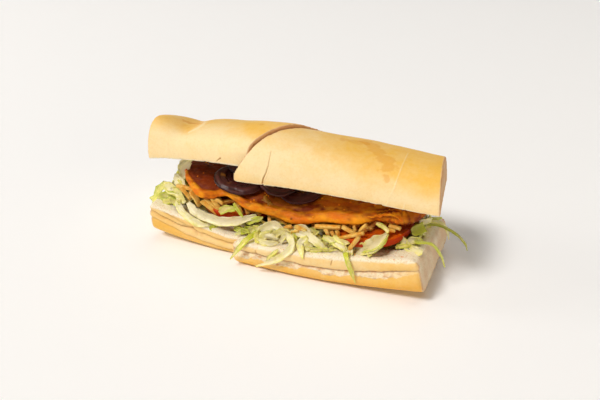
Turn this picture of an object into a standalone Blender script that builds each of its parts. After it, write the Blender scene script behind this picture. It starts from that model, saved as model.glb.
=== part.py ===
"""Fish sandwich in a long white roll, cut across on a slant into two halves.

Two lower and two upper pieces of roll hold shredded lettuce, tomato slices,
potato sticks, one long fried fish fillet and cooked onion rings.  X runs along
the roll, Y across it (the front is -Y), Z up.  The sizes below are millimetres.
"""
import math
import random

import bmesh
import bpy
from mathutils import Matrix, Vector
from mathutils.bvhtree import BVHTree

MM = 0.001
GAP = 0.4              # clearance between neighbouring pieces

# The roll, seen from above
LID_LEFT = -111.0      # left ends, trimmed square
ROLL_LEFT = -107.5
LID_RIGHT = 107.0      # right end of the lid
ROLL_RIGHT = 114.0     # right end at its foot
END_LEAN = 0.24        # the right end leans in by this much for each mm of height
LOWER_HALF_WIDTH = 39.0
RIGHT_MID_Y = -5.5     # the right half lies 10 mm in front of the left one
LEFT_MID_Y = 4.0
CUT_DIRECTION = Vector((0.82, 1.0, 0.0)).normalized()
LID_CUT_POINT = Vector((-8.0, -6.5, 0.0))
LOWER_CUT_POINT = Vector((-2.5, -6.5, 0.0))
CUT_GAP = 0.8

# Lower bread
LOWER_CORNER = 7.0     # radius under its sides
LID_SETBACK = 6.0      # the narrower lid starts this far behind the lower edge
FLAT_LEFT, FLAT_RIGHT = -50.0, 20.0   # it rests on the stretch between these
END_LIFT_LEFT, END_LIFT_RIGHT = 6.8, 9.0
GROOVE_DEPTH = 1.8     # torn groove along the right half's side
CREASE_DEPTH = 1.2     # folds along the left half's side

# Upper bread
LID_HALF_WIDTH = 34.0
LID_SQUARENESS = 2.35
LID_HOLLOW = 1.5
DENT_X, DENT_DEPTH, DENT_REACH = -76.0, 4.5, 11.0

# Fried fish
FISH_LEFT, FISH_RIGHT = -88.0, 104.5
FISH_MID_Y, FISH_HALF_WIDTH = 3.5, 28.5
FISH_THICKNESS = 9.0
FISH_CROWN = 7.0       # rise of its middle, less at the ends
FISH_LOW_X, FISH_LOW_Z = 3.0, 31.0    # lowest point of the front rim
FISH_RISE_LEFT, FISH_RISE_RIGHT = 0.165, 0.27
FISH_LOBE_X, FISH_LOBE_OUT = -64.0, 3.5        # a lobe of its front rim

# Onion, tomato, potato
ONION_BAND, ONION_HEIGHT = 7.6, 5.6
ONION_RINGS = {        # centre x, centre y, outer radius, level above the fish
    "onion_ring_1": (-40.0, -6.0, 18.3, 0.0),
    "onion_ring_2": (-40.0, 2.0, 13.0, 6.4),
    "onion_ring_3": (10.0, -4.0, 17.0, 0.0),
    "onion_ring_4": (-6.0, -1.0, 17.0, 6.4),
}
TOMATO_THICKNESS = 5.6
TOMATO_SLICES = {      # centre x and y, radius, height of the middle, slope along x and y
    "tomato_slice_1": (-46.0, 0.0, 28.5, 27.5, -0.09, -0.06),
    "tomato_slice_2": (65.0, -10.0, 27.5, 33.2, 0.17, -0.05),
}
STICK_SIDE = 3.2
STICK_LENGTH = (17.0, 27.0)
SHRED_THICKNESS = 1.0


def blend(a, b, t):
    """Smooth step from a to b as t goes from 0 to 1."""
    t = min(1.0, max(0.0, t))
    t = t * t * (3.0 - 2.0 * t)
    return a + (b - a) * t


def superpower(value, power):
    """Signed power, the building block of a superellipse."""
    return math.copysign(abs(value) ** (2.0 / power), value)


# ---------------------------------------------------------------- materials

def make_material(name, colour, roughness):
    """Principled material of one plain colour."""
    material = bpy.data.materials.new(name)
    material.use_nodes = True
    shader = material.node_tree.nodes["Principled BSDF"]
    shader.inputs["Base Color"].default_value = (*colour, 1.0)
    shader.inputs["Roughness"].default_value = roughness
    shader.inputs["Metallic"].default_value = 0.0
    return material


# ---------------------------------------------------------------- solids

def add_object(name, mesh_builder, material, collection):
    """Turn a bmesh in millimetres into an object in metres."""
    bmesh.ops.remove_doubles(mesh_builder, verts=mesh_builder.verts, dist=0.01)
    bmesh.ops.triangulate(mesh_builder, faces=mesh_builder.faces)
    bmesh.ops.recalc_face_normals(mesh_builder, faces=mesh_builder.faces)
    bmesh.ops.scale(mesh_builder, vec=(MM, MM, MM), verts=mesh_builder.verts)
    mesh = bpy.data.meshes.new(name)
    mesh_builder.to_mesh(mesh)
    mesh_builder.free()
    mesh.materials.append(material)
    item = bpy.data.objects.new(name, mesh)
    collection.objects.link(item)
    return item


def loft(sections):
    """Closed body through equal rings of points, with flat ends."""
    shape = bmesh.new()
    rings = [[shape.verts.new(point) for point in section] for section in sections]
    count = len(rings[0])
    for ring, following in zip(rings, rings[1:]):
        for i in range(count):
            j = (i + 1) % count
            shape.faces.new((ring[i], ring[j], following[j], following[i]))
    shape.faces.new(reversed(rings[0]))
    shape.faces.new(rings[-1])
    return shape


def slice_off(shape, point, normal):
    """Cut with a plane, drop the side the normal points to, and close the cut."""
    geometry = shape.verts[:] + shape.edges[:] + shape.faces[:]
    cut = bmesh.ops.bisect_plane(shape, geom=geometry, plane_co=point, plane_no=normal,
                                 dist=1e-4, clear_outer=True)
    rim = [item for item in cut["geom_cut"] if isinstance(item, bmesh.types.BMEdge)]
    bmesh.ops.holes_fill(shape, edges=rim, sides=0)


# ---------------------------------------------------------------- bread

def lift(x):
    """How far the underside curls up at the ends."""
    if x < FLAT_LEFT:
        return END_LIFT_LEFT * ((FLAT_LEFT - x) / (FLAT_LEFT - ROLL_LEFT)) ** 2
    if x > FLAT_RIGHT:
        return END_LIFT_RIGHT * ((x - FLAT_RIGHT) / (ROLL_RIGHT - FLAT_RIGHT)) ** 2
    return 0.0


def crumb_height(x, y, right):
    """Height of the cut crumb face of the lower bread."""
    if right:
        along = max(0.0, (x + 33.5) / 138.0)
        front = 20.0 + 16.0 * along ** 2.2
        fall = 0.05 + 0.08 * along
    else:
        along = max(0.0, (-x - 42.5) / 65.0)
        front = 17.5 + 13.5 * along
        fall = 0.04
    front_y = (RIGHT_MID_Y if right else LEFT_MID_Y) - LOWER_HALF_WIDTH
    dimples = 0.35 * math.sin(x * 0.21 + y * 0.13) * math.sin(y * 0.17 - x * 0.06)
    return front - fall * (y - front_y) + dimples


def wall_inset(level, x, right):
    """Depth of the groove or folds along the side, by level from 0 to 1."""
    if right:
        fade = blend(1.0, 0.25, (x - 60.0) / 40.0)
        return GROOVE_DEPTH * fade * math.exp(-((level - 0.46) / 0.08) ** 2)
    upper = math.exp(-((level - 0.70) / 0.07) ** 2)
    lower = math.exp(-((level - 0.36) / 0.07) ** 2)
    return CREASE_DEPTH * (upper + lower)


def lower_section(x, right):
    """Ring of points round the lower bread at x."""
    mid = RIGHT_MID_Y if right else LEFT_MID_Y
    levels = [0.985, 0.93, 0.83, 0.74, 0.67, 0.60, 0.53, 0.46, 0.39, 0.32, 0.22, 0.12, 0.04]
    floor = lift(x)
    bulge = 0.7 * math.sin(x * 0.045 + (1.0 if right else 2.6))

    def wall_point(level, side):
        top = crumb_height(x, mid + side * LOWER_HALF_WIDTH, right)
        under_corner = max(0.0, 1.0 - level * (top - floor) / LOWER_CORNER)
        width = LOWER_HALF_WIDTH + bulge - wall_inset(level, x, right)
        width -= LOWER_CORNER * (1.0 - math.sqrt(1.0 - under_corner ** 2))
        if level > 0.95:
            width -= 0.8
        y = mid + side * width
        return Vector((x, y, floor + (top - floor) * level))

    front = [wall_point(level, -1) for level in levels]
    back = [wall_point(level, 1) for level in reversed(levels)]
    foot = LOWER_HALF_WIDTH - LOWER_CORNER - 1.0
    under = [Vector((x, mid + foot * k, floor)) for k in (-1.0, -0.5, 0.0, 0.5, 1.0)]
    top = []
    for k in (0.93, 0.72, 0.45, 0.15, -0.15, -0.45, -0.72, -0.93):
        y = mid + LOWER_HALF_WIDTH * k
        top.append(Vector((x, y, crumb_height(x, y, right))))
    return front + under + back + top


def spaced(start, end, step, extra=()):
    """Even stations from start to end, with some extra ones, in order."""
    count = max(2, round((end - start) / step))
    stations = {round(start + (end - start) * i / count, 3) for i in range(count + 1)}
    return sorted(stations | {float(value) for value in extra})


def cut_normal():
    """Unit normal of the slanting cut, pointing to the right half."""
    return Vector((CUT_DIRECTION.y, -CUT_DIRECTION.x, 0.0))


def end_plane():
    """Point and outward normal of the leaning right end."""
    return (Vector((ROLL_RIGHT, 0.0, 0.0)),
            Vector((1.0, -0.055, END_LEAN)).normalized())


def make_lower(right):
    """One half of the lower bread."""
    normal = cut_normal()
    if right:
        shape = loft([lower_section(x, True) for x in
                      spaced(-52.0, ROLL_RIGHT + 8.0, 8.0, (FLAT_RIGHT,))])
        slice_off(shape, LOWER_CUT_POINT + normal * CUT_GAP / 2, -normal)
        slice_off(shape, *end_plane())
    else:
        shape = loft([lower_section(x, False) for x in
                      spaced(ROLL_LEFT, 48.0, 8.5, (FLAT_LEFT,))])
        slice_off(shape, LOWER_CUT_POINT - normal * CUT_GAP / 2, normal)
    return shape


def lid_shape(x, right):
    """Front edge y and z, slope of the underside and rise of the lid at x."""
    if right:
        along = (x + 35.0) / 143.0
        rise = 31.0 + 1.2 * math.sin(math.pi * min(1.0, along * 1.4)) - 3.0 * blend(0, 1, along)
        return RIGHT_MID_Y + LID_SETBACK - LID_HALF_WIDTH, 66.0, 0.05 + 0.07 * along, rise
    along = (x - LID_LEFT) / 80.0
    dent = DENT_DEPTH * math.exp(-((x - DENT_X) / DENT_REACH) ** 2)
    edge = 65.5 + 6.5 * min(1.0, along ** 0.8) if along > 0 else 65.5
    rise = 29.5 + 4.0 * blend(0.0, 1.0, (x + 50.0) / 50.0) - dent
    return LEFT_MID_Y + LID_SETBACK + 2.0 - LID_HALF_WIDTH, edge, 0.25 + 0.05 * along, rise


def lid_base(x, y, right):
    """Height of the lid's underside."""
    edge_y, edge_z, slope, _ = lid_shape(x, right)
    across = (y - edge_y) / LID_HALF_WIDTH - 1.0
    return edge_z - slope * (y - edge_y) + LID_HOLLOW * max(0.0, 1.0 - across ** 2)


def lid_section(x, right):
    """Ring of points round the lid at x: domed crust, then the underside."""
    edge_y, edge_z, slope, rise = lid_shape(x, right)
    mid = edge_y + LID_HALF_WIDTH
    points = []
    steps = 20
    for i in range(steps + 1):
        angle = math.pi * i / steps
        y = mid - LID_HALF_WIDTH * superpower(math.cos(angle), LID_SQUARENESS)
        height = rise * superpower(math.sin(angle), LID_SQUARENESS) if 0 < i < steps else 1.2
        wave = 0.5 * math.sin(x * 0.05 + angle * 2.0) * math.sin(angle)
        points.append(Vector((x, y, edge_z - slope * (y - edge_y) + height + wave)))
    for k in (0.93, 0.7, 0.4, 0.0, -0.4, -0.7, -0.93):
        y = mid + LID_HALF_WIDTH * k
        points.append(Vector((x, y, lid_base(x, y, right))))
    return points


def make_lid(right):
    """One half of the upper bread."""
    normal = cut_normal()
    if right:
        shape = loft([lid_section(x, True) for x in spaced(-42.0, ROLL_RIGHT + 2.0, 8.0)])
        slice_off(shape, LID_CUT_POINT + normal * CUT_GAP / 2, -normal)
        slice_off(shape, Vector((LID_RIGHT, 0.0, 66.0)), Vector((1.0, 0.055, 0.02)).normalized())
    else:
        shape = loft([lid_section(x, False) for x in spaced(LID_LEFT, 48.0, 8.0)])
        slice_off(shape, LID_CUT_POINT - normal * CUT_GAP / 2, normal)
    return shape


# ---------------------------------------------------------------- fish

def fish_under(x, y):
    """Height of the fillet's underside; it sags in the middle of the roll."""
    side = FISH_RISE_RIGHT if x > FISH_LOW_X else FISH_RISE_LEFT
    reach = math.sqrt((x - FISH_LOW_X) ** 2 + 225.0) - 15.0
    across = (y - FISH_MID_Y) / FISH_HALF_WIDTH
    crown = FISH_CROWN * (1.0 - 0.65 * min(1.0, ((x - FISH_LOW_X) / 95.0) ** 2))
    if x > FISH_LOW_X:
        tilt = 0.16 * blend(0.0, 1.0, (x - 30.0) / 80.0)
    else:
        tilt = 0.08 * blend(0.0, 1.0, (-x - 10.0) / 70.0)
    return (FISH_LOW_Z + side * reach + crown * max(0.0, 1.0 - across ** 2)
            - tilt * FISH_HALF_WIDTH * (across + 1.0))


def fish_top(x, y):
    """Height of the fillet's upper face away from its rounded rim."""
    return fish_under(x, y) + FISH_THICKNESS


def fish_section(x):
    """Ring of points round the fillet at x, with a wavy rim and rough faces."""
    middle = (FISH_LEFT + FISH_RIGHT) / 2
    reach = (x - middle) / ((FISH_RIGHT - FISH_LEFT) / 2)
    taper = max(0.12, (1.0 - abs(reach) ** 8)) ** 0.5
    half = FISH_HALF_WIDTH * taper + 0.9 * math.sin(x * 0.16) * taper
    thick = FISH_THICKNESS * (0.55 + 0.45 * taper)
    points = []
    steps = 18
    for i in range(steps):
        angle = 2.0 * math.pi * i / steps
        y = FISH_MID_Y + half * superpower(math.cos(angle), 2.9)
        if y < -10.0:
            y -= FISH_LOBE_OUT * math.exp(-((x - FISH_LOBE_X) / 13.0) ** 2) * (-10.0 - y) / 15.0
        height = superpower(math.sin(angle), 2.6)
        centre = fish_under(x, y) + FISH_THICKNESS / 2
        crags = 0.35 * math.sin(x * 0.31 + y * 0.23) + 0.25 * math.sin(y * 0.5 - x * 0.17)
        points.append(Vector((x, y, centre + height * thick / 2 + (crags if height > 0 else 0))))
    return points


def make_fish():
    """The fried fillet: one long sagging piece."""
    return loft([fish_section(x) for x in spaced(FISH_LEFT, FISH_RIGHT, 7.0)])


# ---------------------------------------------------------------- onion, tomato

def make_onion(name):
    """A limp ring of onion draped over the fish or the ring below it."""
    x0, y0, radius, level = ONION_RINGS[name]
    bpy.ops.mesh.primitive_torus_add(major_segments=26, minor_segments=6,
                                     major_radius=radius - ONION_BAND / 2,
                                     minor_radius=ONION_BAND / 2)
    source = bpy.context.active_object
    shape = bmesh.new()
    shape.from_mesh(source.data)
    mesh = source.data
    bpy.data.objects.remove(source)
    bpy.data.meshes.remove(mesh)
    phase = radius * 1.7
    for vert in shape.verts:
        angle = math.atan2(vert.co.y, vert.co.x)
        swell = 1.0 + 0.05 * math.sin(3.0 * angle + phase)
        flat = vert.co.z * ONION_HEIGHT / ONION_BAND
        x = x0 + vert.co.x * swell
        y = y0 + vert.co.y * swell
        rest_x = x0 + radius * 0.8 * math.cos(angle)
        rest_y = y0 + radius * 0.8 * math.sin(angle)
        base = max(fish_top(rest_x, rest_y), fish_top(x, y)) + 0.9
        vert.co = Vector((x, y, base + level + ONION_HEIGHT / 2 + flat))
    return shape


def make_tomato(name):
    """A round slice with a soft skin edge, leaning with the roll."""
    x0, y0, radius, z0, slope_x, slope_y = TOMATO_SLICES[name]
    shape = bmesh.new()
    bmesh.ops.create_cone(shape, cap_ends=True, segments=36, radius1=radius,
                          radius2=radius, depth=TOMATO_THICKNESS)
    rim = [edge for edge in shape.edges
           if abs(edge.verts[0].co.z - edge.verts[1].co.z) < 0.1]
    bmesh.ops.bevel(shape, geom=rim, offset=1.3, segments=2, profile=0.5, affect='EDGES')
    for vert in shape.verts:
        lobes = 1.0 + 0.02 * math.sin(5.0 * math.atan2(vert.co.y, vert.co.x))
        vert.co.x *= lobes
        vert.co.y *= lobes
        vert.co.z += slope_x * vert.co.x + slope_y * vert.co.y
        vert.co += Vector((x0, y0, z0))
    return shape


# ---------------------------------------------------------------- lettuce, potato

def tomato_middle(x, y):
    """Height of the middle of a tomato slice near this spot, or None."""
    for x0, y0, radius, z0, slope_x, slope_y in TOMATO_SLICES.values():
        if math.hypot(x - x0, y - y0) < radius + 7.5:
            return z0 + slope_x * (x - x0) + slope_y * (y - y0)
    return None


def crumb_over(x, y):
    """Highest crumb near a spot, so that a filling clears both halves."""
    return max(crumb_height(x, y, True), crumb_height(x, y, False)) \
        if -40.0 < x < 42.0 else crumb_height(x, y, x > 0.0)


def sticks_floor(x, y):
    """Underside of the layer of potato sticks."""
    floor = fish_under(x, y) - 4.6 - 3.4 * blend(0.0, 1.0, (x - 45.0) / 30.0)
    middle = tomato_middle(x, y)
    if middle is not None:
        floor = max(floor, middle + TOMATO_THICKNESS / 2 + GAP + 0.3)
    return floor


def lettuce_top(x, y):
    """Top of the packed lettuce below tomato and potato sticks."""
    top = sticks_floor(x, y) - GAP
    middle = tomato_middle(x, y)
    if middle is not None:
        top = min(top, middle - TOMATO_THICKNESS / 2 - GAP - 0.3)
    top -= blend(3.2, 0.0, (y + 30.0) / 12.0) * blend(1.0, 0.0, (abs(x) - 82.0) / 6.0)
    top = max(top, crumb_over(x, y) + GAP + 1.6)
    if x < -86.0:
        top = blend(top, 45.0, (-x - 86.0) / 8.0)
    if x < -98.0:
        top = blend(45.0, 36.0, (-x - 98.0) / 8.0)
    return top


def heap_core(x_from, x_to, front, back, lower, upper, step, rows):
    """Slab between two height functions, rounded off at its rim."""
    sections = []
    for x in spaced(x_from, x_to, step):
        near, far = front(x), back(x)
        ring = []
        for i in range(rows + 1):
            y = near + (far - near) * i / rows
            ring.append((y, lower(x, y)))
        for i in range(rows, -1, -1):
            y = near + (far - near) * i / rows
            rim = 0.35 if i in (0, rows) else 1.0
            low = lower(x, y)
            ring.append((y, low + max(1.2, (upper(x, y) - low) * rim)))
        sections.append([Vector((x, y, z)) for y, z in ring])
    return loft(sections)


def curve_points(controls, count):
    """Evenly numbered points on a smooth curve through the controls."""
    spans = len(controls) - 1
    padded = [controls[0] * 2 - controls[1], *controls, controls[-1] * 2 - controls[-2]]
    points = []
    for i in range(count):
        at = spans * i / (count - 1)
        k = min(int(at), spans - 1)
        t = at - k
        a, b, c, d = padded[k:k + 4]
        points.append(0.5 * ((2 * b) + (c - a) * t + (2 * a - 5 * b + 4 * c - d) * t * t
                             + (3 * b - a - 3 * c + d) * t ** 3))
    return points


def make_strip(controls, width, turn, margin=0.0, shift=(0.0, 0.0, 0.0)):
    """A shred: a thin strip along a curve, turned about it by an angle."""
    count = 2 * len(controls) - 1
    line = curve_points([Vector(point) + Vector(shift) for point in controls], count)
    thickness = SHRED_THICKNESS + 2 * margin
    sections = []
    for i, point in enumerate(line):
        ahead = line[min(i + 1, count - 1)] - line[max(i - 1, 0)]
        ahead.normalize()
        side = ahead.cross(Vector((0.0, 0.0, 1.0)))
        if side.length < 0.05:
            side = Vector((1.0, 0.0, 0.0))
        side.normalize()
        side.rotate(Matrix.Rotation(turn, 3, ahead))
        face = side.cross(ahead)
        half = width / 2 * (0.55 if i in (0, count - 1) else 1.0)
        half = half * (1.0 + 0.15 * math.sin(i * 2.1 + width)) + margin
        sections.append([point + side * half + face * thickness / 2,
                         point - side * half + face * thickness / 2,
                         point - side * half - face * thickness / 2,
                         point + side * half - face * thickness / 2])
    return loft(sections)


def make_stick(start, end, margin=0.0):
    """A potato stick: a square bar, a little thinner at its ends."""
    start, end = Vector(start), Vector(end)
    centre, length = (start + end) / 2, (end - start).length
    ahead = (end - start).normalized()
    side = ahead.cross(Vector((0.0, 0.0, 1.0))).normalized()
    face = side.cross(ahead)
    sections = []
    for k, size in ((-0.5, 0.8), (-0.1, 1.0), (0.5, 0.85)):
        point = centre + ahead * length * k + face * 0.8 * (0.25 - k * k)
        half = STICK_SIDE / 2 * size + margin
        sections.append([point + side * half + face * half, point - side * half + face * half,
                         point - side * half - face * half, point + side * half - face * half])
    return loft(sections)


def tree_of(shape):
    """Search tree of a bmesh, for finding overlaps."""
    bmesh.ops.triangulate(shape, faces=shape.faces)
    return BVHTree.FromBMesh(shape)


def object_tree(item):
    """Search tree of an object, in millimetres."""
    shape = bmesh.new()
    shape.from_mesh(item.data)
    bmesh.ops.scale(shape, vec=(1 / MM,) * 3, verts=shape.verts)
    tree = tree_of(shape)
    shape.free()
    return tree


def first_clear(build, trees, attempts):
    """The first of some tries at a piece that keeps clear of the given solids.

    build(attempt, margin) makes the piece, swollen all round by the margin.
    """
    for attempt in range(attempts):
        swollen = build(attempt, GAP)
        probe = tree_of(swollen)
        swollen.free()
        if not any(probe.overlap(tree) for tree in trees):
            return build(attempt, 0.0)
    return None


# Shreds that hang or stick out where they can be picked out one by one:
# points from root to tip, width, turn about the strip's own line
HANGING_SHREDS = [
    ([(-10, -28, 23), (-18, -37, 23.5), (-28, -43.5, 23.5), (-32, -48, 16), (-34, -48, 6)],
     3.4, 0.5),
    ([(14, -28, 24), (9, -41, 25), (2, -48, 21), (-6, -48.5, 11), (-14, -48, 4)], 4.4, 0.6),
    ([(37, -29, 25), (45, -38, 28), (54, -47, 28), (58, -48.5, 19), (61, -48, 7)], 3.6, 0.2),
    ([(38, -29, 26), (51, -42, 30), (64, -43.5, 33), (77, -42, 39), (84, -38, 43)], 7.0, 0.7),
    ([(92, -16, 37), (97, -26, 38), (103, -28, 42)], 7.0, 0.9),
    ([(88, -16, 32), (98, -23, 36), (108, -23, 37), (115, -22, 29), (119, -23, 20)], 2.6, 0.3),
    ([(92, 0, 36), (107, 0, 38.5), (115, 0, 37), (123, 0, 33), (129, 0, 27), (131, 0, 22)],
     2.4, 0.2),
    ([(92, 6, 34), (106, 6, 37.5), (114, 5, 34), (117, 4, 26)], 3.6, 0.1),
    ([(-94, -14, 38), (-86, -26, 33), (-76, -32, 29), (-62, -34, 27), (-48, -34, 25),
      (-36, -32.5, 26), (-24, -28, 27)], 5.5, 0.5),
    ([(-26, -24, 25), (-33, -35, 24.5), (-38, -39, 25.5)], 6.0, 0.9),
    ([(-98, -8, 40), (-102, -16, 38), (-107, -17, 33)], 8.0, 0.4),
    ([(-92, -10, 42), (-99, -17, 40), (-105, -19, 36)], 7.0, 1.1),
    ([(-95, -12, 39), (-92, -22, 36), (-96, -26, 32)], 7.0, 0.3),
    ([(-93, 2, 42), (-94, -2, 49), (-92, -1, 55)], 8.0, 0.2),
    ([(-95, 8, 42), (-97, 9, 48), (-94, 11, 53)], 7.0, 0.9),
]


def front_shreds(rng):
    """Loose curls along the front of the roll, drawn by a seeded rule."""
    shreds = []
    for i in range(17):
        x = -22.0 + 6.4 * i + rng.uniform(-2.0, 2.0)
        run = rng.uniform(-11.0, 11.0)
        out = rng.uniform(5.0, 10.0)
        low = crumb_over(x + run, -32.0 - out) + rng.uniform(1.4, 2.8)
        root = crumb_over(x, -29.0) + 1.9
        top = root + rng.uniform(0.5, 5.5) if tomato_middle(x, -33.0) is None else root
        shreds.append(([(x, -28.0, root), (x + run * 0.3, -33.0, top),
                        (x + run * 0.8, -33.0 - out * 0.6, max(low + 1.0, top - 1.0)),
                        (x + run, -33.0 - out, low)],
                       rng.uniform(3.0, 5.2), rng.uniform(-0.8, 0.8)))
    return shreds


def back_shreds(rng):
    """Shreds that show along the back and at the two ends."""
    shreds = []
    for i in range(9):
        x = -88.0 + 20.5 * i + rng.uniform(-3.0, 3.0)
        far = 38.5 if x < 18.0 else 29.0
        root_z = lettuce_top(x, far - 7.0) - 3.2
        out = rng.uniform(2.0, 5.0)
        low = crumb_over(x, far) + 1.6
        shreds.append(([(x, far - 9.0, root_z), (x + 3, far - 3.0, root_z),
                        (x + rng.uniform(-6, 6), far - 2.0 + out * 0.5, low + 1.0)],
                       rng.uniform(3.5, 5.5), rng.uniform(-0.5, 0.5)))
    return shreds


def fuse(name, core, pieces, material, collection):
    """Join a heap's core with the pieces that show."""
    base = add_object(name, core, material, collection)
    extras = bpy.data.collections.new(name + "_pieces")
    bpy.context.scene.collection.children.link(extras)
    for index, piece in enumerate(pieces):
        add_object(f"{name}_piece_{index}", piece, material, extras)
    union = base.modifiers.new("join", 'BOOLEAN')
    union.operation = 'UNION'
    union.operand_type = 'COLLECTION'
    union.collection = extras
    union.solver = 'MANIFOLD'   # thin strips cross one another at very small angles
    bpy.context.view_layer.update()
    joined = bpy.data.meshes.new_from_object(base.evaluated_get(
        bpy.context.evaluated_depsgraph_get()))
    base.modifiers.remove(union)
    old = base.data
    base.data = joined
    bpy.data.meshes.remove(old)
    for item in list(extras.objects):
        mesh = item.data
        bpy.data.objects.remove(item)
        bpy.data.meshes.remove(mesh)
    bpy.data.collections.remove(extras)
    keep_largest(base.data)
    return base


def keep_largest(mesh):
    """Drop loose scraps and zero-area slivers that a union can leave."""
    shape = bmesh.new()
    shape.from_mesh(mesh)
    bmesh.ops.remove_doubles(shape, verts=shape.verts, dist=2e-6)
    bmesh.ops.dissolve_degenerate(shape, edges=shape.edges, dist=1e-6)
    bmesh.ops.triangulate(shape, faces=shape.faces)
    islands = []
    unseen = set(shape.faces)
    while unseen:
        seed = unseen.pop()
        island, front = [seed], [seed]
        while front:
            face = front.pop()
            for edge in face.edges:
                for other in edge.link_faces:
                    if other in unseen:
                        unseen.discard(other)
                        island.append(other)
                        front.append(other)
        islands.append(island)
    islands.sort(key=len)
    for island in islands[:-1]:
        bmesh.ops.delete(shape, geom=island, context='FACES')
    shape.to_mesh(mesh)
    shape.free()


def lettuce_core():
    """The packed middle of the lettuce heap."""
    def front(x):
        return blend(-21.0, -31.0, (x + 50.0) / 24.0)

    def back(x):
        return blend(39.0, 29.0, (x + 6.0) / 40.0)

    return heap_core(-104.0, 100.0, front, back,
                     lambda x, y: crumb_over(x, y) + GAP, lettuce_top, 7.5, 8)


def make_lettuce(trees, material, collection):
    """The heap of shredded lettuce on the lower bread."""
    core = lettuce_core()
    rng = random.Random(11)
    specs = HANGING_SHREDS + front_shreds(rng) + back_shreds(rng)
    pieces = []
    for controls, width, turn in specs:
        def build(attempt, margin):
            shift = (0.0, -0.6 * (attempt // 2), 0.5 * attempt)
            return make_strip(controls, width, turn, margin, shift)
        pieces.append(first_clear(build, trees, 10))
    pieces = [piece for piece in pieces if piece is not None]
    return fuse("lettuce", core, pieces, material, collection)


def make_sticks(trees, material, collection):
    """The layer of potato sticks under the fish, with the ones that show."""
    core = heap_core(-66.0, 80.0, lambda x: blend(-19.0, -11.0, (x - 40.0) / 25.0), lambda x: 26.0,
                     lambda x, y: sticks_floor(x, y),
                     lambda x, y: fish_under(x, y) - GAP - 0.9, 9.0, 7)
    rng = random.Random(5)
    pieces = []
    for i in range(27):
        place_x = -76.0 + 5.6 * i + rng.uniform(-1.5, 1.5)
        bearing = rng.choice((-1, 1)) * rng.uniform(0.3, 1.3)
        length = rng.uniform(*STICK_LENGTH)
        droop = rng.uniform(0.0, 2.5)
        place_y = -22.5 + rng.uniform(-1.5, 1.5)

        def build(attempt, margin):
            ends = []
            for k in (-0.5, 0.5):
                x = place_x + length * k * math.sin(bearing)
                y = place_y - length * k * math.cos(bearing) - 0.7 * attempt
                under = fish_under(x, max(y, -24.0)) - STICK_SIDE / 2 - 0.9 - 0.3 * attempt
                ends.append((x, y, under - (droop if k > 0 else 0.0)))
            return make_stick(*ends, margin)
        pieces.append(first_clear(build, trees, 9))
    pieces = [piece for piece in pieces if piece is not None]
    return fuse("potato_sticks", core, pieces, material, collection)


# ---------------------------------------------------------------- assembly

def rest_on_origin(items):
    """Move every piece so that the whole stands centred on the origin."""
    corners = [vert.co for item in items for vert in item.data.vertices]
    low = Vector([min(corner[i] for corner in corners) for i in range(3)])
    high = Vector([max(corner[i] for corner in corners) for i in range(3)])
    shift = Vector((-(low.x + high.x) / 2, -(low.y + high.y) / 2, -low.z))
    for item in items:
        item.data.transform(Matrix.Translation(shift))


def main():
    for item in list(bpy.data.objects):
        bpy.data.objects.remove(item)
    sandwich = bpy.data.collections.new("fish_sandwich")
    bpy.context.scene.collection.children.link(sandwich)

    crust = make_material("bread_crust", (0.84, 0.62, 0.33), 0.6)
    batter = make_material("fried_batter", (0.58, 0.20, 0.02), 0.45)
    onion = make_material("cooked_onion", (0.07, 0.02, 0.03), 0.25)
    tomato = make_material("tomato_flesh", (0.62, 0.10, 0.03), 0.35)
    leaf = make_material("lettuce_leaf", (0.62, 0.70, 0.32), 0.5)
    potato = make_material("fried_potato", (0.80, 0.52, 0.18), 0.5)

    items = [
        add_object("bread_bottom_left", make_lower(False), crust, sandwich),
        add_object("bread_bottom_right", make_lower(True), crust, sandwich),
        add_object("bread_top_left", make_lid(False), crust, sandwich),
        add_object("bread_top_right", make_lid(True), crust, sandwich),
        add_object("fish_fillet", make_fish(), batter, sandwich),
    ]
    for name in ONION_RINGS:
        items.append(add_object(name, make_onion(name), onion, sandwich))
    for name in TOMATO_SLICES:
        items.append(add_object(name, make_tomato(name), tomato, sandwich))
    packed = lettuce_core()
    trees = [object_tree(item) for item in items] + [tree_of(packed)]
    packed.free()
    sticks = make_sticks(trees, potato, sandwich)
    items.append(sticks)
    items.append(make_lettuce([object_tree(item) for item in items], leaf, sandwich))
    rest_on_origin(items)
    for item in items:
        item.data.shade_smooth()
        item.data.set_sharp_from_angle(angle=math.radians(40.0))


main()
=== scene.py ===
"""A fried fish sandwich in a long soft roll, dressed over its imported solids.

The roll is cut across on a slant into two halves.  Every sub-assembly is a class
that holds its sizes in millimetres in the roll's own frame: X along the roll,
Y across it with the front at -Y, Z up from the underside.  Finished pieces are
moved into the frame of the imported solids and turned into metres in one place.
"""

import logging
import math
import random
from dataclasses import dataclass
from enum import Enum
from typing import Callable, Optional, Sequence

import bmesh
import bpy
from mathutils import Matrix, Vector, noise
from mathutils.bvhtree import BVHTree


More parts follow.
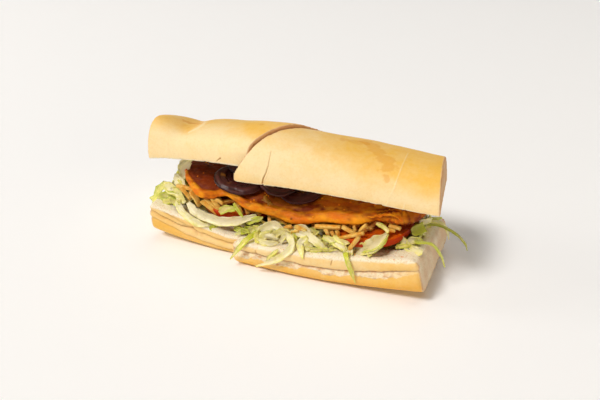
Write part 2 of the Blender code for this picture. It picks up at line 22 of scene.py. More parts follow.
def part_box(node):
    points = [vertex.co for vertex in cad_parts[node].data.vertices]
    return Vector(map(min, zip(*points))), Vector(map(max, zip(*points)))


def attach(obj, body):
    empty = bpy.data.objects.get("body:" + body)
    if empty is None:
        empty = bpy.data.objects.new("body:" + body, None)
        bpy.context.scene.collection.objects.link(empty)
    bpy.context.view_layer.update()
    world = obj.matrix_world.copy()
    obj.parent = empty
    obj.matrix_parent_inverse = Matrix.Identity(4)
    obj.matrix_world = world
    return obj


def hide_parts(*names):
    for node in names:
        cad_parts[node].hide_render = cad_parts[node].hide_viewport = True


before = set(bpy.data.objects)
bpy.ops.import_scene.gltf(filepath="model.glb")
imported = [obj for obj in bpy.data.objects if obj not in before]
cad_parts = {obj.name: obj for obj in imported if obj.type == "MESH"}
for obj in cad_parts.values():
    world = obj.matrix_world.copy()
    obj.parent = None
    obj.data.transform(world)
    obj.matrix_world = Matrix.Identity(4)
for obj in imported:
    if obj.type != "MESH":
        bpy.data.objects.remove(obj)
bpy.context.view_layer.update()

LOG = logging.getLogger("fish_sandwich")
MM = 0.001
FAR = 140.0
UP = Vector((0.0, 0.0, 1.0))
SHADER_INPUTS = {"colour": "Base Color", "normal": "Normal", "roughness": "Roughness"}
Point = tuple[float, float, float]
Line = Sequence[Point]
Profile = Sequence[tuple[float, float]]
Shape = bmesh.types.BMesh
Node = bpy.types.Node
Socket = bpy.types.NodeSocket


# ------------------------------------------------------------------ measures

def smooth(low: float, high: float, t: float) -> float:
    """Smooth step from low to high as t goes from 0 to 1."""
    t = held(t)
    return low + (high - low) * t * t * (3.0 - 2.0 * t)


def rising(t: float) -> float:
    """Smooth step from 0 to 1 as t goes from 0 to 1."""
    return smooth(0.0, 1.0, t)


def falling(t: float) -> float:
    """Smooth step from 1 to 0 as t goes from 0 to 1."""
    return smooth(1.0, 0.0, t)


def held(value: float) -> float:
    """Value held between 0 and 1."""
    return min(1.0, max(0.0, value))


def hump(value: float, centre: float, reach: float) -> float:
    """Bell curve, 1 at the centre and near 0 beyond twice the reach."""
    return math.exp(-((value - centre) / reach) ** 2)


def signed_power(value: float, power: float) -> float:
    """Signed power, the building block of a superellipse."""
    return math.copysign(abs(value) ** (2.0 / power), value)


def grain(point: Vector, size: float, seed: float = 0.0) -> float:
    """Noise from -1 to 1 whose lumps are about size millimetres across."""
    return noise.noise(point / size + Vector((seed, seed * 1.7, seed * 0.3)))


def crags(point: Vector, size: float, octaves: int, seed: float = 0.0) -> float:
    """Several octaves of noise, the largest lumps about size millimetres across."""
    return noise.fractal(point / size + Vector((seed, 0.0, -seed)), 0.9, 2.1, octaves)


def line_distance(point: Vector, line: Line) -> tuple[float, float]:
    """Distance from a point to a polyline.

    Args:
        point: Where to measure from.
        line: Corners of the polyline.

    Returns:
        The distance in millimetres and the share of the line passed, 0 to 1.
    """
    best, share = 1e9, 0.0
    spans = len(line) - 1
    for i in range(spans):
        a, b = Vector(line[i]), Vector(line[i + 1])
        run = b - a
        t = held((point - a).dot(run) / run.length_squared)
        gap = (point - a - run * t).length
        if gap < best:
            best, share = gap, (i + t) / spans
    return best, share


def curve_points(controls: Line, count: int) -> list[Vector]:
    """Evenly numbered points on a smooth curve.

    Args:
        controls: Points that the curve passes.
        count: How many points to give.

    Returns:
        The points, from the first control to the last.
    """
    line = [Vector(point) for point in controls]
    spans = len(line) - 1
    line = [line[0] * 2 - line[1], *line, line[-1] * 2 - line[-2]]
    points = []
    for i in range(count):
        at = spans * i / (count - 1)
        k = min(int(at), spans - 1)
        t = at - k
        a, b, c, d = line[k:k + 4]
        points.append(0.5 * ((2 * b) + (c - a) * t + (2 * a - 5 * b + 4 * c - d) * t * t
                             + (3 * b - a - 3 * c + d) * t ** 3))
    return points


# ------------------------------------------------------------------ mesh tools

def laid_grid(columns: int, rows: int, place: Callable[[float, float], Vector]) -> Shape:
    """A grid whose points are placed by a rule.

    Args:
        columns: Number of steps along.
        rows: Number of steps across.
        place: Rule from the shares along and across, 0 to 1, to a point.

    Returns:
        The grid; its layer "share" keeps the two shares of each point.
    """
    shape = bmesh.new()
    bmesh.ops.create_grid(shape, x_segments=columns, y_segments=rows, size=0.5)
    share = shape.verts.layers.float_vector.new("share")
    for vert in shape.verts:
        vert[share] = vert.co + Vector((0.5, 0.5, 0.0))
        vert.co = place(vert.co.x + 0.5, vert.co.y + 0.5)
    return shape


def closed_tube(columns: int, rows: int, place: Callable[[float, float], Vector]) -> Shape:
    """A closed body whose rows run round and whose columns run along.

    Args:
        columns: Number of steps along the body.
        rows: Number of steps round it.
        place: Rule from the shares along and round to a point.

    Returns:
        The body, its seam merged and its two ends closed.
    """
    shape = laid_grid(columns, rows, lambda u, v: place(u, 0.0 if v > 0.9999 else v))
    bmesh.ops.remove_doubles(shape, verts=shape.verts, dist=0.01)
    rim = [edge for edge in shape.edges if edge.is_boundary]
    bmesh.ops.holes_fill(shape, edges=rim, sides=0)
    bmesh.ops.recalc_face_normals(shape, faces=shape.faces)
    return shape


def slice_off(shape: Shape, point: Vector, normal: Vector) -> None:
    """Cut with a plane, drop one side, and close the cut.

    Args:
        shape: The body to cut.
        point: A point of the plane.
        normal: Direction of the side that is dropped.
    """
    geometry = shape.verts[:] + shape.edges[:] + shape.faces[:]
    cut = bmesh.ops.bisect_plane(shape, geom=geometry, plane_co=point, plane_no=normal,
                                 dist=1e-4, clear_outer=True)
    rim = [item for item in cut["geom_cut"] if isinstance(item, bmesh.types.BMEdge)]
    bmesh.ops.holes_fill(shape, edges=rim, sides=0)


def fine_skin(shape: Shape, cell: float, passes: int) -> Shape:
    """Give a closed body an even fine mesh, softened a little.

    Args:
        shape: The body; it is used up.
        cell: Width of a face in millimetres.
        passes: Rounds of smoothing, which take the steps off slanting faces.

    Returns:
        A new body of small even faces.
    """
    mesh = bpy.data.meshes.new("skin")
    shape.to_mesh(mesh)
    shape.free()
    item = bpy.data.objects.new("skin", mesh)
    bpy.context.scene.collection.objects.link(item)
    remesh = item.modifiers.new("skin", 'REMESH')
    remesh.mode = 'VOXEL'
    remesh.voxel_size = cell
    bpy.context.view_layer.update()
    skin = bpy.data.meshes.new_from_object(item.evaluated_get(
        bpy.context.evaluated_depsgraph_get()))
    fine = bmesh.new()
    fine.from_mesh(skin)
    bpy.data.objects.remove(item)
    bpy.data.meshes.remove(mesh)
    bpy.data.meshes.remove(skin)
    soften(fine, lambda co: True, passes)
    bmesh.ops.recalc_face_normals(fine, faces=fine.faces)
    return fine


def refine(shape: Shape, wanted: Callable[[Vector], bool], cuts: int) -> None:
    """Divide the faces where finer ones are wanted.

    Args:
        shape: The body.
        wanted: Rule that picks points by their place.
        cuts: Number of cuts across each edge between two such points.
    """
    chosen = {vert for vert in shape.verts if wanted(vert.co)}
    edges = [edge for edge in shape.edges if edge.verts[0] in chosen and edge.verts[1] in chosen]
    if edges:
        bmesh.ops.subdivide_edges(shape, edges=edges, cuts=cuts, use_grid_fill=True)


def soften(shape: Shape, wanted: Callable[[Vector], bool], passes: int) -> None:
    """Round off the edges of a part of a body.

    Args:
        shape: The body.
        wanted: Rule that picks points by their place.
        passes: Rounds of smoothing.
    """
    chosen = [vert for vert in shape.verts if wanted(vert.co)]
    for _ in range(passes if chosen else 0):
        bmesh.ops.smooth_vert(shape, verts=chosen, factor=0.5, use_axis_x=True, use_axis_y=True,
                              use_axis_z=True)


def height_on(line: Profile, x: float) -> float:
    """Height of a line at x, eased halfway between straight and smooth steps.

    Args:
        line: Its corners, each a place along X and a height.
        x: Where to read it.

    Returns:
        The height; beyond the last corner, that corner's.
    """
    for (x0, z0), (x1, z1) in zip(line, line[1:]):
        if x <= x1:
            return smooth(z0, z1, (x - x0) / (x1 - x0)) * 0.5 + 0.5 * (
                z0 + (z1 - z0) * max(0.0, (x - x0) / (x1 - x0)))
    return line[-1][1]


def tree_of(shape: Shape) -> BVHTree:
    """Search tree of a body, for laying other pieces on it."""
    return BVHTree.FromBMesh(shape)


def spot_below(tree: BVHTree, x: float, y: float) -> Optional[tuple[Vector, Vector]]:
    """Point and normal of the surface met from far above at x and y, or None."""
    place, normal, _, _ = tree.ray_cast(Vector((x, y, FAR)), -UP)
    return None if place is None else (place, normal)


def absorb(target: Shape, extra: Shape) -> None:
    """Add one body to another.

    Args:
        target: The body that grows.
        extra: The body that is added, with its layers; it is used up.
    """
    mesh = bpy.data.meshes.new("extra")
    extra.to_mesh(mesh)
    extra.free()
    target.from_mesh(mesh)
    bpy.data.meshes.remove(mesh)


def seat_offset() -> Vector:
    """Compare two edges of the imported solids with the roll's own frame.

    Returns:
        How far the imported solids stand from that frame, in millimetres.
    """
    lower_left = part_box("bread_bottom_left")[0] / MM
    lid_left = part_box("bread_top_left")[0] / MM
    return Vector((lower_left.x - ROLL.left_end, lid_left.y - ROLL.lid_front(False), 0.0))


def finished(name: str, shape: Shape, material: bpy.types.Material, slot: str,
             *nodes: str) -> bpy.types.Object:
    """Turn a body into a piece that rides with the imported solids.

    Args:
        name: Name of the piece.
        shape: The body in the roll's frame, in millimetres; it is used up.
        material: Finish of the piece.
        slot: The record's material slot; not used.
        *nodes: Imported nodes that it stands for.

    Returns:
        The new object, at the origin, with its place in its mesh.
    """
    seat = Matrix.Diagonal((MM, MM, MM, 1.0)) @ Matrix.Translation(seat_offset())
    bmesh.ops.transform(shape, matrix=seat, verts=shape.verts)
    mesh = bpy.data.meshes.new(name)
    shape.to_mesh(mesh)
    shape.free()
    mesh.materials.append(material)
    mesh.shade_smooth()
    item = bpy.data.objects.new(name, mesh)
    bpy.context.scene.collection.objects.link(item)
    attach(item, "root")
    if nodes:
        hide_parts(*nodes)
    LOG.info("%s: %d faces", name, len(mesh.polygons))
    return item


# ------------------------------------------------------------------ finishes

def linear(code: str) -> tuple[float, float, float, float]:
    """Turn an sRGB hex colour into linear red, green, blue and alpha."""
    channels = [int(code[i:i + 2], 16) / 255.0 for i in (0, 2, 4)]
    return (*[c / 12.92 if c <= 0.04045 else ((c + 0.055) / 1.055) ** 2.4 for c in channels], 1.0)


def per_metre(size: float) -> float:
    """Texture scale that gives lumps of a size in millimetres."""
    return 1.0 / (size * MM)


def add(tree: bpy.types.NodeTree, kind: str, settings: Optional[dict] = None,
        inputs: Optional[dict] = None) -> Node:
    """Add a node with its settings and links.

    Args:
        tree: Node tree of the material.
        kind: Class of the node without its ShaderNode prefix.
        settings: Properties of the node by name.
        inputs: Values or output sockets by input name or number.

    Returns:
        The new node.
    """
    node = tree.nodes.new("ShaderNode" + kind)
    for key, value in (settings or {}).items():
        setattr(node, key, value)
    for key, value in (inputs or {}).items():
        if isinstance(value, Socket):
            tree.links.new(value, node.inputs[key])
        else:
            node.inputs[key].default_value = value
    return node


class Tone:
    """Colour and number recipes on one node tree."""

    def __init__(self, tree: bpy.types.NodeTree) -> None:
        """Keep the tree and its place socket."""
        self.tree = tree
        self.place = add(tree, "TexCoord").outputs["Object"]

    def attribute(self, name: str, vector: bool = False) -> Socket:
        """Socket of a value stored on the mesh."""
        return add(self.tree, "Attribute", {"attribute_name": name}).outputs[
            "Vector" if vector else "Fac"]

    def lumps(self, size: float, detail: float = 3.0, rough: float = 0.5,
              place: Optional[Socket] = None) -> Socket:
        """Noise from 0 to 1 with lumps of a size in millimetres."""
        return add(self.tree, "TexNoise", None, {
            "Vector": place or self.place, "Scale": per_metre(size), "Detail": detail,
            "Roughness": rough}).outputs["Fac"]

    def drawn_out(self, shrink: float) -> Socket:
        """Place squeezed along the roll, so that lumps come out longer that way."""
        return add(self.tree, "Mapping", None, {
            "Vector": self.place, "Scale": (shrink, 1.0, 1.0)}).outputs["Vector"]

    def span(self, value: Socket, start: float, end: float, low: float = 0.0,
             high: float = 1.0) -> Socket:
        """Value between start and end, spread from low to high and held there."""
        return add(self.tree, "MapRange", {"interpolation_type": 'SMOOTHSTEP'}, {
            "Value": value, "From Min": start, "From Max": end, "To Min": low,
            "To Max": high}).outputs["Result"]

    def sum(self, a: Socket, b: object, kind: str = 'ADD') -> Socket:
        """Result of arithmetic on two values, held between 0 and 1."""
        return add(self.tree, "Math", {"operation": kind, "use_clamp": True},
                   {0: a, 1: b}).outputs[0]

    def mix(self, share: object, a: object, b: object) -> Socket:
        """Colour between a and b; a hex code stands for a plain colour."""
        a, b = [linear(c) if isinstance(c, str) else c for c in (a, b)]
        return add(self.tree, "Mix", {"data_type": 'RGBA'}, {0: share, 6: a, 7: b}).outputs[2]

    def relief(self, height: Socket, depth: float, strength: float = 1.0,
               under: Optional[Socket] = None) -> Socket:
        """Bump from a height of 0 to 1 that stands for a depth in millimetres.

        Args:
            height: Socket of the height.
            depth: Millimetres from lowest to highest.
            strength: Share of the bump that is used.
            under: Socket of a coarser bump that this one lies on.

        Returns:
            Socket of the bent normal.
        """
        inputs = {"Height": height, "Distance": depth * MM, "Strength": strength}
        if under is not None:
            inputs["Normal"] = under
        return add(self.tree, "Bump", None, inputs).outputs["Normal"]

    def wire(self, shader: Node, **sockets: Socket) -> None:
        """Link sockets to the shader's colour, normal or roughness, by those names."""
        for name, socket in sockets.items():
            self.tree.links.new(socket, shader.inputs[SHADER_INPUTS[name]])


@dataclass(frozen=True)
class Finish:
    """A named finish; each kind paints its own node tree.

    Attributes:
        name: Name of the material.
        rough: Roughness where the recipe links none.
        specular: Strength of the surface's own shine.
        glow: Share of the light that enters a soft food and comes out again.
        glow_reach: How far red, green and blue go inside, against each other.
        glow_depth: Scale of that way in millimetres.
    """

    name: str
    rough: float = 0.5
    specular: float = 0.5
    glow: float = 0.0
    glow_reach: Point = (1.0, 0.2, 0.1)
    glow_depth: float = 50.0

    def paint(self, tone: Tone, shader: Node) -> None:
        """Link the recipe of this kind to the shader."""
        raise NotImplementedError

    def make(self) -> bpy.types.Material:
        """Make the material.

        Returns:
            The new material with this finish.
        """
        material = bpy.data.materials.new(self.name)
        material.use_nodes = True
        shader = material.node_tree.nodes["Principled BSDF"]
        shader.inputs["Roughness"].default_value = self.rough
        shader.inputs["Specular IOR Level"].default_value = self.specular
        shader.inputs["Subsurface Weight"].default_value = self.glow
        shader.inputs["Subsurface Radius"].default_value = self.glow_reach
        shader.inputs["Subsurface Scale"].default_value = self.glow_depth * MM
        self.paint(Tone(material.node_tree), shader)
        return material


@dataclass(frozen=True)
class WheatBread(Finish):
    """Soft white wheat bread, proved and baked in a tin.

    The oven gives a thin, matt, leathery crust, pale at the sides and golden
    where it faced the heat; torn or cut, it shows an open cream crumb whose
    pores are drawn at their real size of about 1 to 2 mm.
    """

    specular: float = 0.25
    glow: float = 0.12
    glow_reach: Point = (1.0, 0.6, 0.3)
    glow_depth: float = 2.0
    pale: str = "F9DFAA"
    golden: str = "F5C054"
    # Colour of real stains and flecks, also used for the painted shade in the dent.
    stain: str = "E8A43A"
    # Painted shade: the dark brown laid into the creases, cracks and nicks of the crust.
    crease: str = "A8702E"
    rim: str = "D28C3E"
    crumb: str = "FEF2D6"
    pore: str = "E2BE82"
    pore_size: float = 1.3

    def paint(self, tone: Tone, shader: Node) -> None:
        """Crust and crumb, mixed by the shares stored on the mesh, with painted shade in the creases,
        cracks and nicks.
        """
        bake, crumb, rim = (tone.attribute(name) for name in ("bake", "crumb", "rim"))
        stain, crease = tone.attribute("stain"), tone.attribute("crease")
        cloud = tone.lumps(26.0, 4.0, 0.6)
        mottle = tone.lumps(3.2, 3.0, 0.6)
        baked = tone.sum(bake, tone.span(cloud, 0.35, 0.7, -0.12, 0.14))
        baked = tone.sum(baked, tone.span(mottle, 0.3, 0.7, -0.06, 0.06))
        crust = tone.mix(baked, self.pale, self.golden)
        flecks = tone.span(tone.lumps(1.0, 2.0, 0.5), 0.68, 0.8, 0.0, 0.3)
        crust = tone.mix(flecks, crust, self.stain)
        # Real stains, with the painted shade in the dent of the left lid.
        crust = tone.mix(stain, crust, self.stain)
        # Painted shade: darken the creases, cracks and nicks by their stored share.
        crust = tone.mix(crease, crust, self.crease)
        pores = tone.lumps(self.pore_size, 4.0, 0.65)
        inside = tone.mix(tone.span(pores, 0.36, 0.52, 0.55, 0.0), self.crumb, self.pore)
        colour = tone.mix(tone.sum(rim, tone.span(pores, 0.3, 0.7, -0.1, 0.1)),
                          tone.mix(crumb, crust, inside), self.rim)
        leather = tone.relief(tone.lumps(1.1, 3.0, 0.6), 0.25, 0.35)
        tone.wire(shader, colour=colour, roughness=tone.span(crumb, 0.0, 1.0, 0.55, 0.9),
                  normal=tone.relief(tone.sum(pores, crumb, 'MULTIPLY'), 0.9, 0.6, leather))


@dataclass(frozen=True)
class FriedBatter(Finish):
    """Seasoned batter, deep fried: a craggy orange crust with a film of oil.

    Frying browns the high crags and leaves paler yellow-orange flats; the oil
    on it gives small sharp glints.  The grains of real batter are about half a
    millimetre across and are drawn coarser, so that they show.
    """

    specular: float = 0.14
    glow: float = 0.08
    glow_reach: Point = (1.0, 0.4, 0.1)
    glow_depth: float = 1.0
    orange: str = "DE7408"
    yellow: str = "F09C18"
    # Brown of fried crags, also laid as painted shade in hollows, on undersides and on the top under the
    # lid.
    brown: str = "782A04"
    # Near-black of scorched spots, also laid as painted shade on the top at the left end.
    char_and_shade: str = "2E0A04"
    grain_size: float = 2.6

    def paint(self, tone: Tone, shader: Node) -> None:
        """Patches of orange, yellow and brown over fine grains; the brown and near-black shares also
        hold painted shade.
        """
        along = tone.drawn_out(0.45)
        patches = tone.lumps(5.0, 3.0, 0.5, along)
        grains = tone.lumps(self.grain_size, 3.0, 0.55)
        colour = tone.mix(tone.span(patches, 0.38, 0.66), self.orange, self.yellow)
        colour = tone.mix(tone.span(grains, 0.62, 0.8, 0.0, 0.08), colour, self.brown)
        # Brown share: real browning plus painted shade in hollows, on undersides, on the top and beside
        # the frill.
        colour = tone.mix(tone.sum(tone.attribute("browned"),
                                   tone.span(grains, 0.3, 0.7, -0.06, 0.06)), colour, self.brown)
        # Near-black: real scorch marks and painted shade on the top at the left end.
        colour = tone.mix(tone.sum(tone.attribute("charred_and_shaded"),
                                   tone.span(grains, 0.3, 0.7, -0.3, 0.0)), colour, self.char_and_shade)
        coarse = tone.relief(tone.lumps(3.6, 3.0, 0.5, along), 0.9, 0.6)
        tone.wire(shader, colour=colour, normal=tone.relief(grains, 0.5, 0.7, coarse),
                  roughness=tone.span(tone.lumps(3.0), 0.35, 0.65, 0.42, 0.64))


@dataclass(frozen=True)
class CookedOnion(Finish):
    """Red onion, cooked down until limp: dark, wet and streaked along its layers.

    The streaks are drawn wider than the fine veins of a real onion, so that they show; the lighter
    greyish ones are partly painted sheen.
    """

    specular: float = 0.3
    glow: float = 0.15
    glow_reach: Point = (1.0, 0.3, 0.4)
    glow_depth: float = 1.5
    dark: str = "2C0B09"
    plum: str = "4C1B16"
    # Greyish violet of the lighter streaks, partly a painted sheen.
    streak_and_sheen: str = "623426"
    amber: str = "A8701E"
    streak_size: float = 2.6

    def paint(self, tone: Tone, shader: Node) -> None:
        """Streaks that follow the ring, with browner see-through spots."""
        along = tone.attribute("layer", True)
        streaks = tone.lumps(self.streak_size, 4.0, 0.6, along)
        colour = tone.mix(tone.span(streaks, 0.36, 0.62), self.dark, self.plum)
        # Lighter greyish streaks along the layers, partly painted sheen.
        colour = tone.mix(tone.span(tone.lumps(3.4, 2.0, 0.5, along), 0.56, 0.74, 0.0, 0.7),
                          colour, self.streak_and_sheen)
        colour = tone.mix(tone.attribute("thin"), colour, self.amber)
        tone.wire(shader, colour=colour, normal=tone.relief(streaks, 0.6, 0.8),
                  roughness=tone.span(streaks, 0.3, 0.7, 0.24, 0.5))


@dataclass(frozen=True)
class TomatoFlesh(Finish):
    """Ripe tomato, sliced: wet orange-red flesh, seed pockets and a shiny skin."""

    rough: float = 0.36
    specular: float = 0.14
    glow: float = 0.1
    glow_reach: Point = (1.0, 0.3, 0.15)
    glow_depth: float = 3.0
    flesh: str = "C44606"
    pale: str = "DA6A10"
    skin: str = "B83402"
    jelly: str = "C0560A"
    fibre_size: float = 1.6

    def paint(self, tone: Tone, shader: Node) -> None:
        """Skin at the rim, spokes of flesh and jelly in the middle."""
        fibres = tone.lumps(self.fibre_size, 3.0, 0.6)
        colour = tone.mix(tone.span(fibres, 0.35, 0.7), self.flesh, self.pale)
        colour = tone.mix(tone.attribute("pocket"), colour, self.jelly)
        colour = tone.mix(tone.attribute("skin"), colour, self.skin)
        tone.wire(shader, colour=colour, normal=tone.relief(fibres, 0.4, 0.6))


@dataclass(frozen=True)
class IcebergLeaf(Finish):
    """Iceberg lettuce, shredded: crisp wet leaf, cream at the rib and green at the frill.

    The veins of a real leaf are finer and are drawn as coarse as they need to show.
    """

    rough: float = 0.36
    glow: float = 0.45
    glow_reach: Point = (0.8, 1.0, 0.35)
    glow_depth: float = 2.5
    rib: str = "FFF4B4"
    leaf: str = "F6EA7C"
    green: str = "C4CE36"
    # Painted shade: the dark olive-brown laid on the inside of the heap.
    deep: str = "5E4A0A"
    wet: str = "DACC68"
    vein_size: float = 1.7

    def paint(self, tone: Tone, shader: Node) -> None:
        """Cream to green by the share stored on the strips, with fine veins and painted shade inside the
        heap.
        """
        veins = tone.lumps(self.vein_size, 3.0, 0.6, tone.attribute("vein", True))
        green = tone.sum(tone.attribute("green"), tone.span(tone.lumps(5.0), 0.3, 0.7, -0.16, 0.16))
        colour = tone.mix(tone.span(green, 0.05, 0.45), self.rib, self.leaf)
        colour = tone.mix(tone.span(green, 0.45, 0.85), colour, self.green)
        colour = tone.mix(tone.span(veins, 0.52, 0.75, 0.0, 0.4), colour, self.rib)
        colour = tone.mix(tone.span(veins, 0.5, 0.28, 0.0, 0.5), colour, self.wet)
        # Painted shade by the stored depth share.
        colour = tone.mix(tone.attribute("depth"), colour, self.deep)
        tone.wire(shader, colour=colour, normal=tone.relief(veins, 0.5, 0.6))


@dataclass(frozen=True)
class FriedPotato(Finish):
    """Potato, cut in thin sticks and fried: dry, golden, browner at the tips.

    The blisters of its skin are drawn about 1 mm across, as coarse as they need to show.
    """

    rough: float = 0.42
    glow: float = 0.2
    glow_reach: Point = (1.0, 0.7, 0.3)
    glow_depth: float = 1.2
    pale: str = "FAD06A"
    gold: str = "EEA22C"
    # Brown of fried tips, also laid on the core as painted shade in the gaps.
    tip: str = "5A2A06"
    grain_size: float = 0.9

    def paint(self, tone: Tone, shader: Node) -> None:
        """Pale sides with golden edges and brown tips; on the core the tip brown is painted shade
        between the sticks.
        """
        patches = tone.lumps(4.0, 3.0, 0.6)
        colour = tone.mix(tone.span(patches, 0.35, 0.68), self.pale, self.gold)
        colour = tone.mix(tone.attribute("tip"), colour, self.tip)
        tone.wire(shader, colour=colour,
                  normal=tone.relief(tone.lumps(self.grain_size, 3.0, 0.6), 0.25, 0.6))


@dataclass(frozen=True)
class PlainStudio(Finish):
    """Matt white board, painted: the plain floor of the picture."""

    rough: float = 0.9
    white: str = "FFFFFF"
    shade: str = "FAFAFA"

    def paint(self, tone: Tone, shader: Node) -> None:
        """One pale paint with a faint unevenness."""
        clouds = tone.span(tone.lumps(60.0), 0.3, 0.7, 0.0, 0.04)
        tone.wire(shader, colour=tone.mix(clouds, self.white, self.shade))


# ------------------------------------------------------------------ the roll

class Half(Enum):
    """The two halves that the slanting cut leaves."""

    LEFT = False
    RIGHT = True


@dataclass
class RollForm:
    """Sizes of the roll and the heights and widths that follow from them.

    The cuts are points of the slanting cut in the lids and in the lower bread; the dent
    is a place, a depth and a reach; the swells are bulges beside the cut by the place
    round the dome.
    """

    left_end: float = -107.5
    right_end: float = 114.0
    lid_left: float = -111.0
    lid_right: float = 107.0
    end_lean: float = 0.24
    half_width: float = 39.0
    right_mid: float = -5.5
    left_mid: float = 4.0
    lid_cut: Point = (-8.0, -6.5, 0.0)
    lower_cut: Point = (-2.5, -6.5, 0.0)
    cut_gap: float = 0.8
    corner: float = 7.0
    flat: tuple[float, float] = (-50.0, 20.0)
    curl: tuple[float, float] = (6.8, 9.0)
    lid_half_width: float = 34.0
    lid_power: float = 2.35
    lid_hollow: float = 1.5
    lid_setback: float = 6.0
    dent: Point = (-86.0, 3.6, 11.5)
    right_swell: Profile = (
        (-0.1, 4.1), (0.15, 3.8), (0.3, 2.2), (0.45, 1.0), (0.6, 0.3), (0.9, 0.4), (1.2, 0.9),
        (1.5, 1.4), (1.65, 0.8), (1.8, -0.3), (1.95, -1.6), (2.15, -2.2), (2.8, 0.0))
    left_swell: Profile = (
        (-0.1, 3.5), (0.15, 5.8), (0.3, 7.0), (0.45, 7.4), (0.6, 6.4), (0.75, 4.8), (0.9, 3.6),
        (1.05, 2.6), (1.2, 2.2), (1.35, 1.9), (1.5, 0.7), (1.65, -1.1), (1.8, -2.2), (2.1, -2.6),
        (2.8, 0.0))

    def mid(self, right: bool) -> float:
        """Y of the middle of a half."""
        return self.right_mid if right else self.left_mid

    def cut_normal(self) -> Vector:
        """Unit normal of the slanting cut, pointing to the right half."""
        return Vector((1.0, -0.82, 0.0)).normalized()

    def end_plane(self) -> tuple[Vector, Vector]:
        """Point and outward normal of the leaning right end."""
        return (Vector((self.right_end, 0.0, 0.0)),
                Vector((1.0, -0.055, self.end_lean)).normalized())

    def lid_end_plane(self) -> tuple[Vector, Vector]:
        """Point and outward normal of the lid's right end."""
        return (Vector((self.lid_right, 0.0, 90.0)), Vector((1.0, 0.09, 0.1)).normalized())

    def to_cut(self, point: Vector, cut: Point) -> float:
        """Distance of a point from the nearer face of a cut."""
        return abs((point - Vector(cut)).dot(self.cut_normal())) - self.cut_gap / 2

    def floor(self, x: float) -> float:
        """How far the underside curls up.

        Args:
            x: Place along the roll.

        Returns:
            Height of the underside.
        """
        if x < self.flat[0]:
            return self.curl[0] * ((self.flat[0] - x) / (self.flat[0] - self.left_end)) ** 2
        if x > self.flat[1]:
            return self.curl[1] * ((x - self.flat[1]) / (self.right_end - self.flat[1])) ** 2
        return 0.0

    def crumb(self, x: float, y: float, right: bool) -> float:
        """Height of the cut crumb face of the lower bread.

        Args:
            x: Place along the roll.
            y: Place across it.
            right: Which half.

        Returns:
            The height, with faint dimples.
        """
        if right:
            along = max(0.0, (x + 33.5) / 138.0)
            front, fall = 20.0 + 16.0 * along ** 2.2, 0.05 + 0.08 * along
        else:
            along = max(0.0, (-x - 42.5) / 65.0)
            front, fall = 17.5 + 13.5 * along, 0.04
        dimples = 0.35 * math.sin(x * 0.21 + y * 0.13) * math.sin(y * 0.17 - x * 0.06)
        return front - fall * (y - self.mid(right) + self.half_width) + dimples

    def crumb_over(self, x: float, y: float) -> float:
        """Highest crumb near a spot, where both halves may lie below it.

        Args:
            x: Place along the roll.
            y: Place across it.

        Returns:
            Height of the crumb face.
        """
        if -40.0 < x < 42.0:
            return max(self.crumb(x, y, True), self.crumb(x, y, False))
        return self.crumb(x, y, x > 0.0)

    def wall_width(self, x: float, level: float, right: bool) -> float:
        """Half width of the lower bread.

        Args:
            x: Place along the roll.
            level: Share of the side's height, 0 at the foot and 1 at the crumb.
            right: Which half.

        Returns:
            Distance from the half's middle to its side.
        """
        tall = self.crumb(x, self.mid(right) - self.half_width, right) - self.floor(x)
        under = max(0.0, 1.0 - level * tall / self.corner)
        width = self.half_width + 0.7 * math.sin(x * 0.045 + (1.0 if right else 2.6))
        width -= self.corner * (1.0 - math.sqrt(max(0.0, 1.0 - under ** 2)))
        return width - 0.8 * rising((level - 0.93) / 0.07)

    def lid_front(self, right: bool) -> float:
        """Y of the lid's front edge."""
        return self.mid(right) + self.lid_setback - self.lid_half_width + (0.0 if right else 2.0)

    def lid(self, x: float, right: bool) -> tuple[float, float, float, float]:
        """Section of the lid.

        Args:
            x: Place along the roll.
            right: Which half.

        Returns:
            Y and z of the front edge, slope of the underside and rise of the dome.
        """
        if right:
            along = (x + 35.0) / 143.0
            rise = 31.0 + 1.2 * math.sin(math.pi * min(1.0, along * 1.4)) \
                - 3.0 * rising(along)
            edge = 66.0 - smooth(0.0, 1.3, (x - 50.0) / 57.0)
            return self.lid_front(True), edge, 0.05 + 0.07 * along, rise
        along = (x - self.lid_left) / 80.0
        centre, depth, reach = self.dent
        edge = 63.2 + 8.8 * min(1.0, max(0.0, along) ** 0.7)
        rise = 29.5 + 4.0 * rising((x + 50.0) / 50.0) - depth * hump(x, centre, reach)
        return self.lid_front(False), edge, 0.25 + 0.05 * along, rise

    def lid_under(self, x: float, y: float, right: bool) -> float:
        """Height of the lid's underside.

        Args:
            x: Place along the roll.
            y: Place across it.
            right: Which half.

        Returns:
            The height, with the shallow hollow.
        """
        edge_y, edge_z, slope, _ = self.lid(x, right)
        across = (y - edge_y) / self.lid_half_width - 1.0
        return edge_z - slope * (y - edge_y) + self.lid_hollow * max(0.0, 1.0 - across ** 2)

    def lid_swell(self, x: float, y: float, angle: float, right: bool) -> float:
        """How far the crust stands out of the plain section.

        Near the cut both halves bulge and twist a little, each in its own way; the left
        end keeps a squarer shoulder.

        Args:
            x: Place along the roll.
            y: Place across it.
            angle: Place round the dome, from 0 at the front edge to pi at the back.
            right: Which half.

        Returns:
            Millimetres outwards from the middle of the section.
        """
        gap = self.to_cut(Vector((x, y, 0.0)), self.lid_cut)
        if right:
            return hump(gap, 0.0, 19.0) * height_on(self.right_swell, angle)
        shoulder = (hump(x, self.lid_left, 17.0) * 5.0 * hump(angle, 1.05, 0.5)
                    + hump(x, self.lid_left, 13.0) * 1.6 * hump(angle, 1.25, 0.3))
        return hump(gap, 0.0, 25.0) * height_on(self.left_swell, angle) + shoulder


ROLL = RollForm()


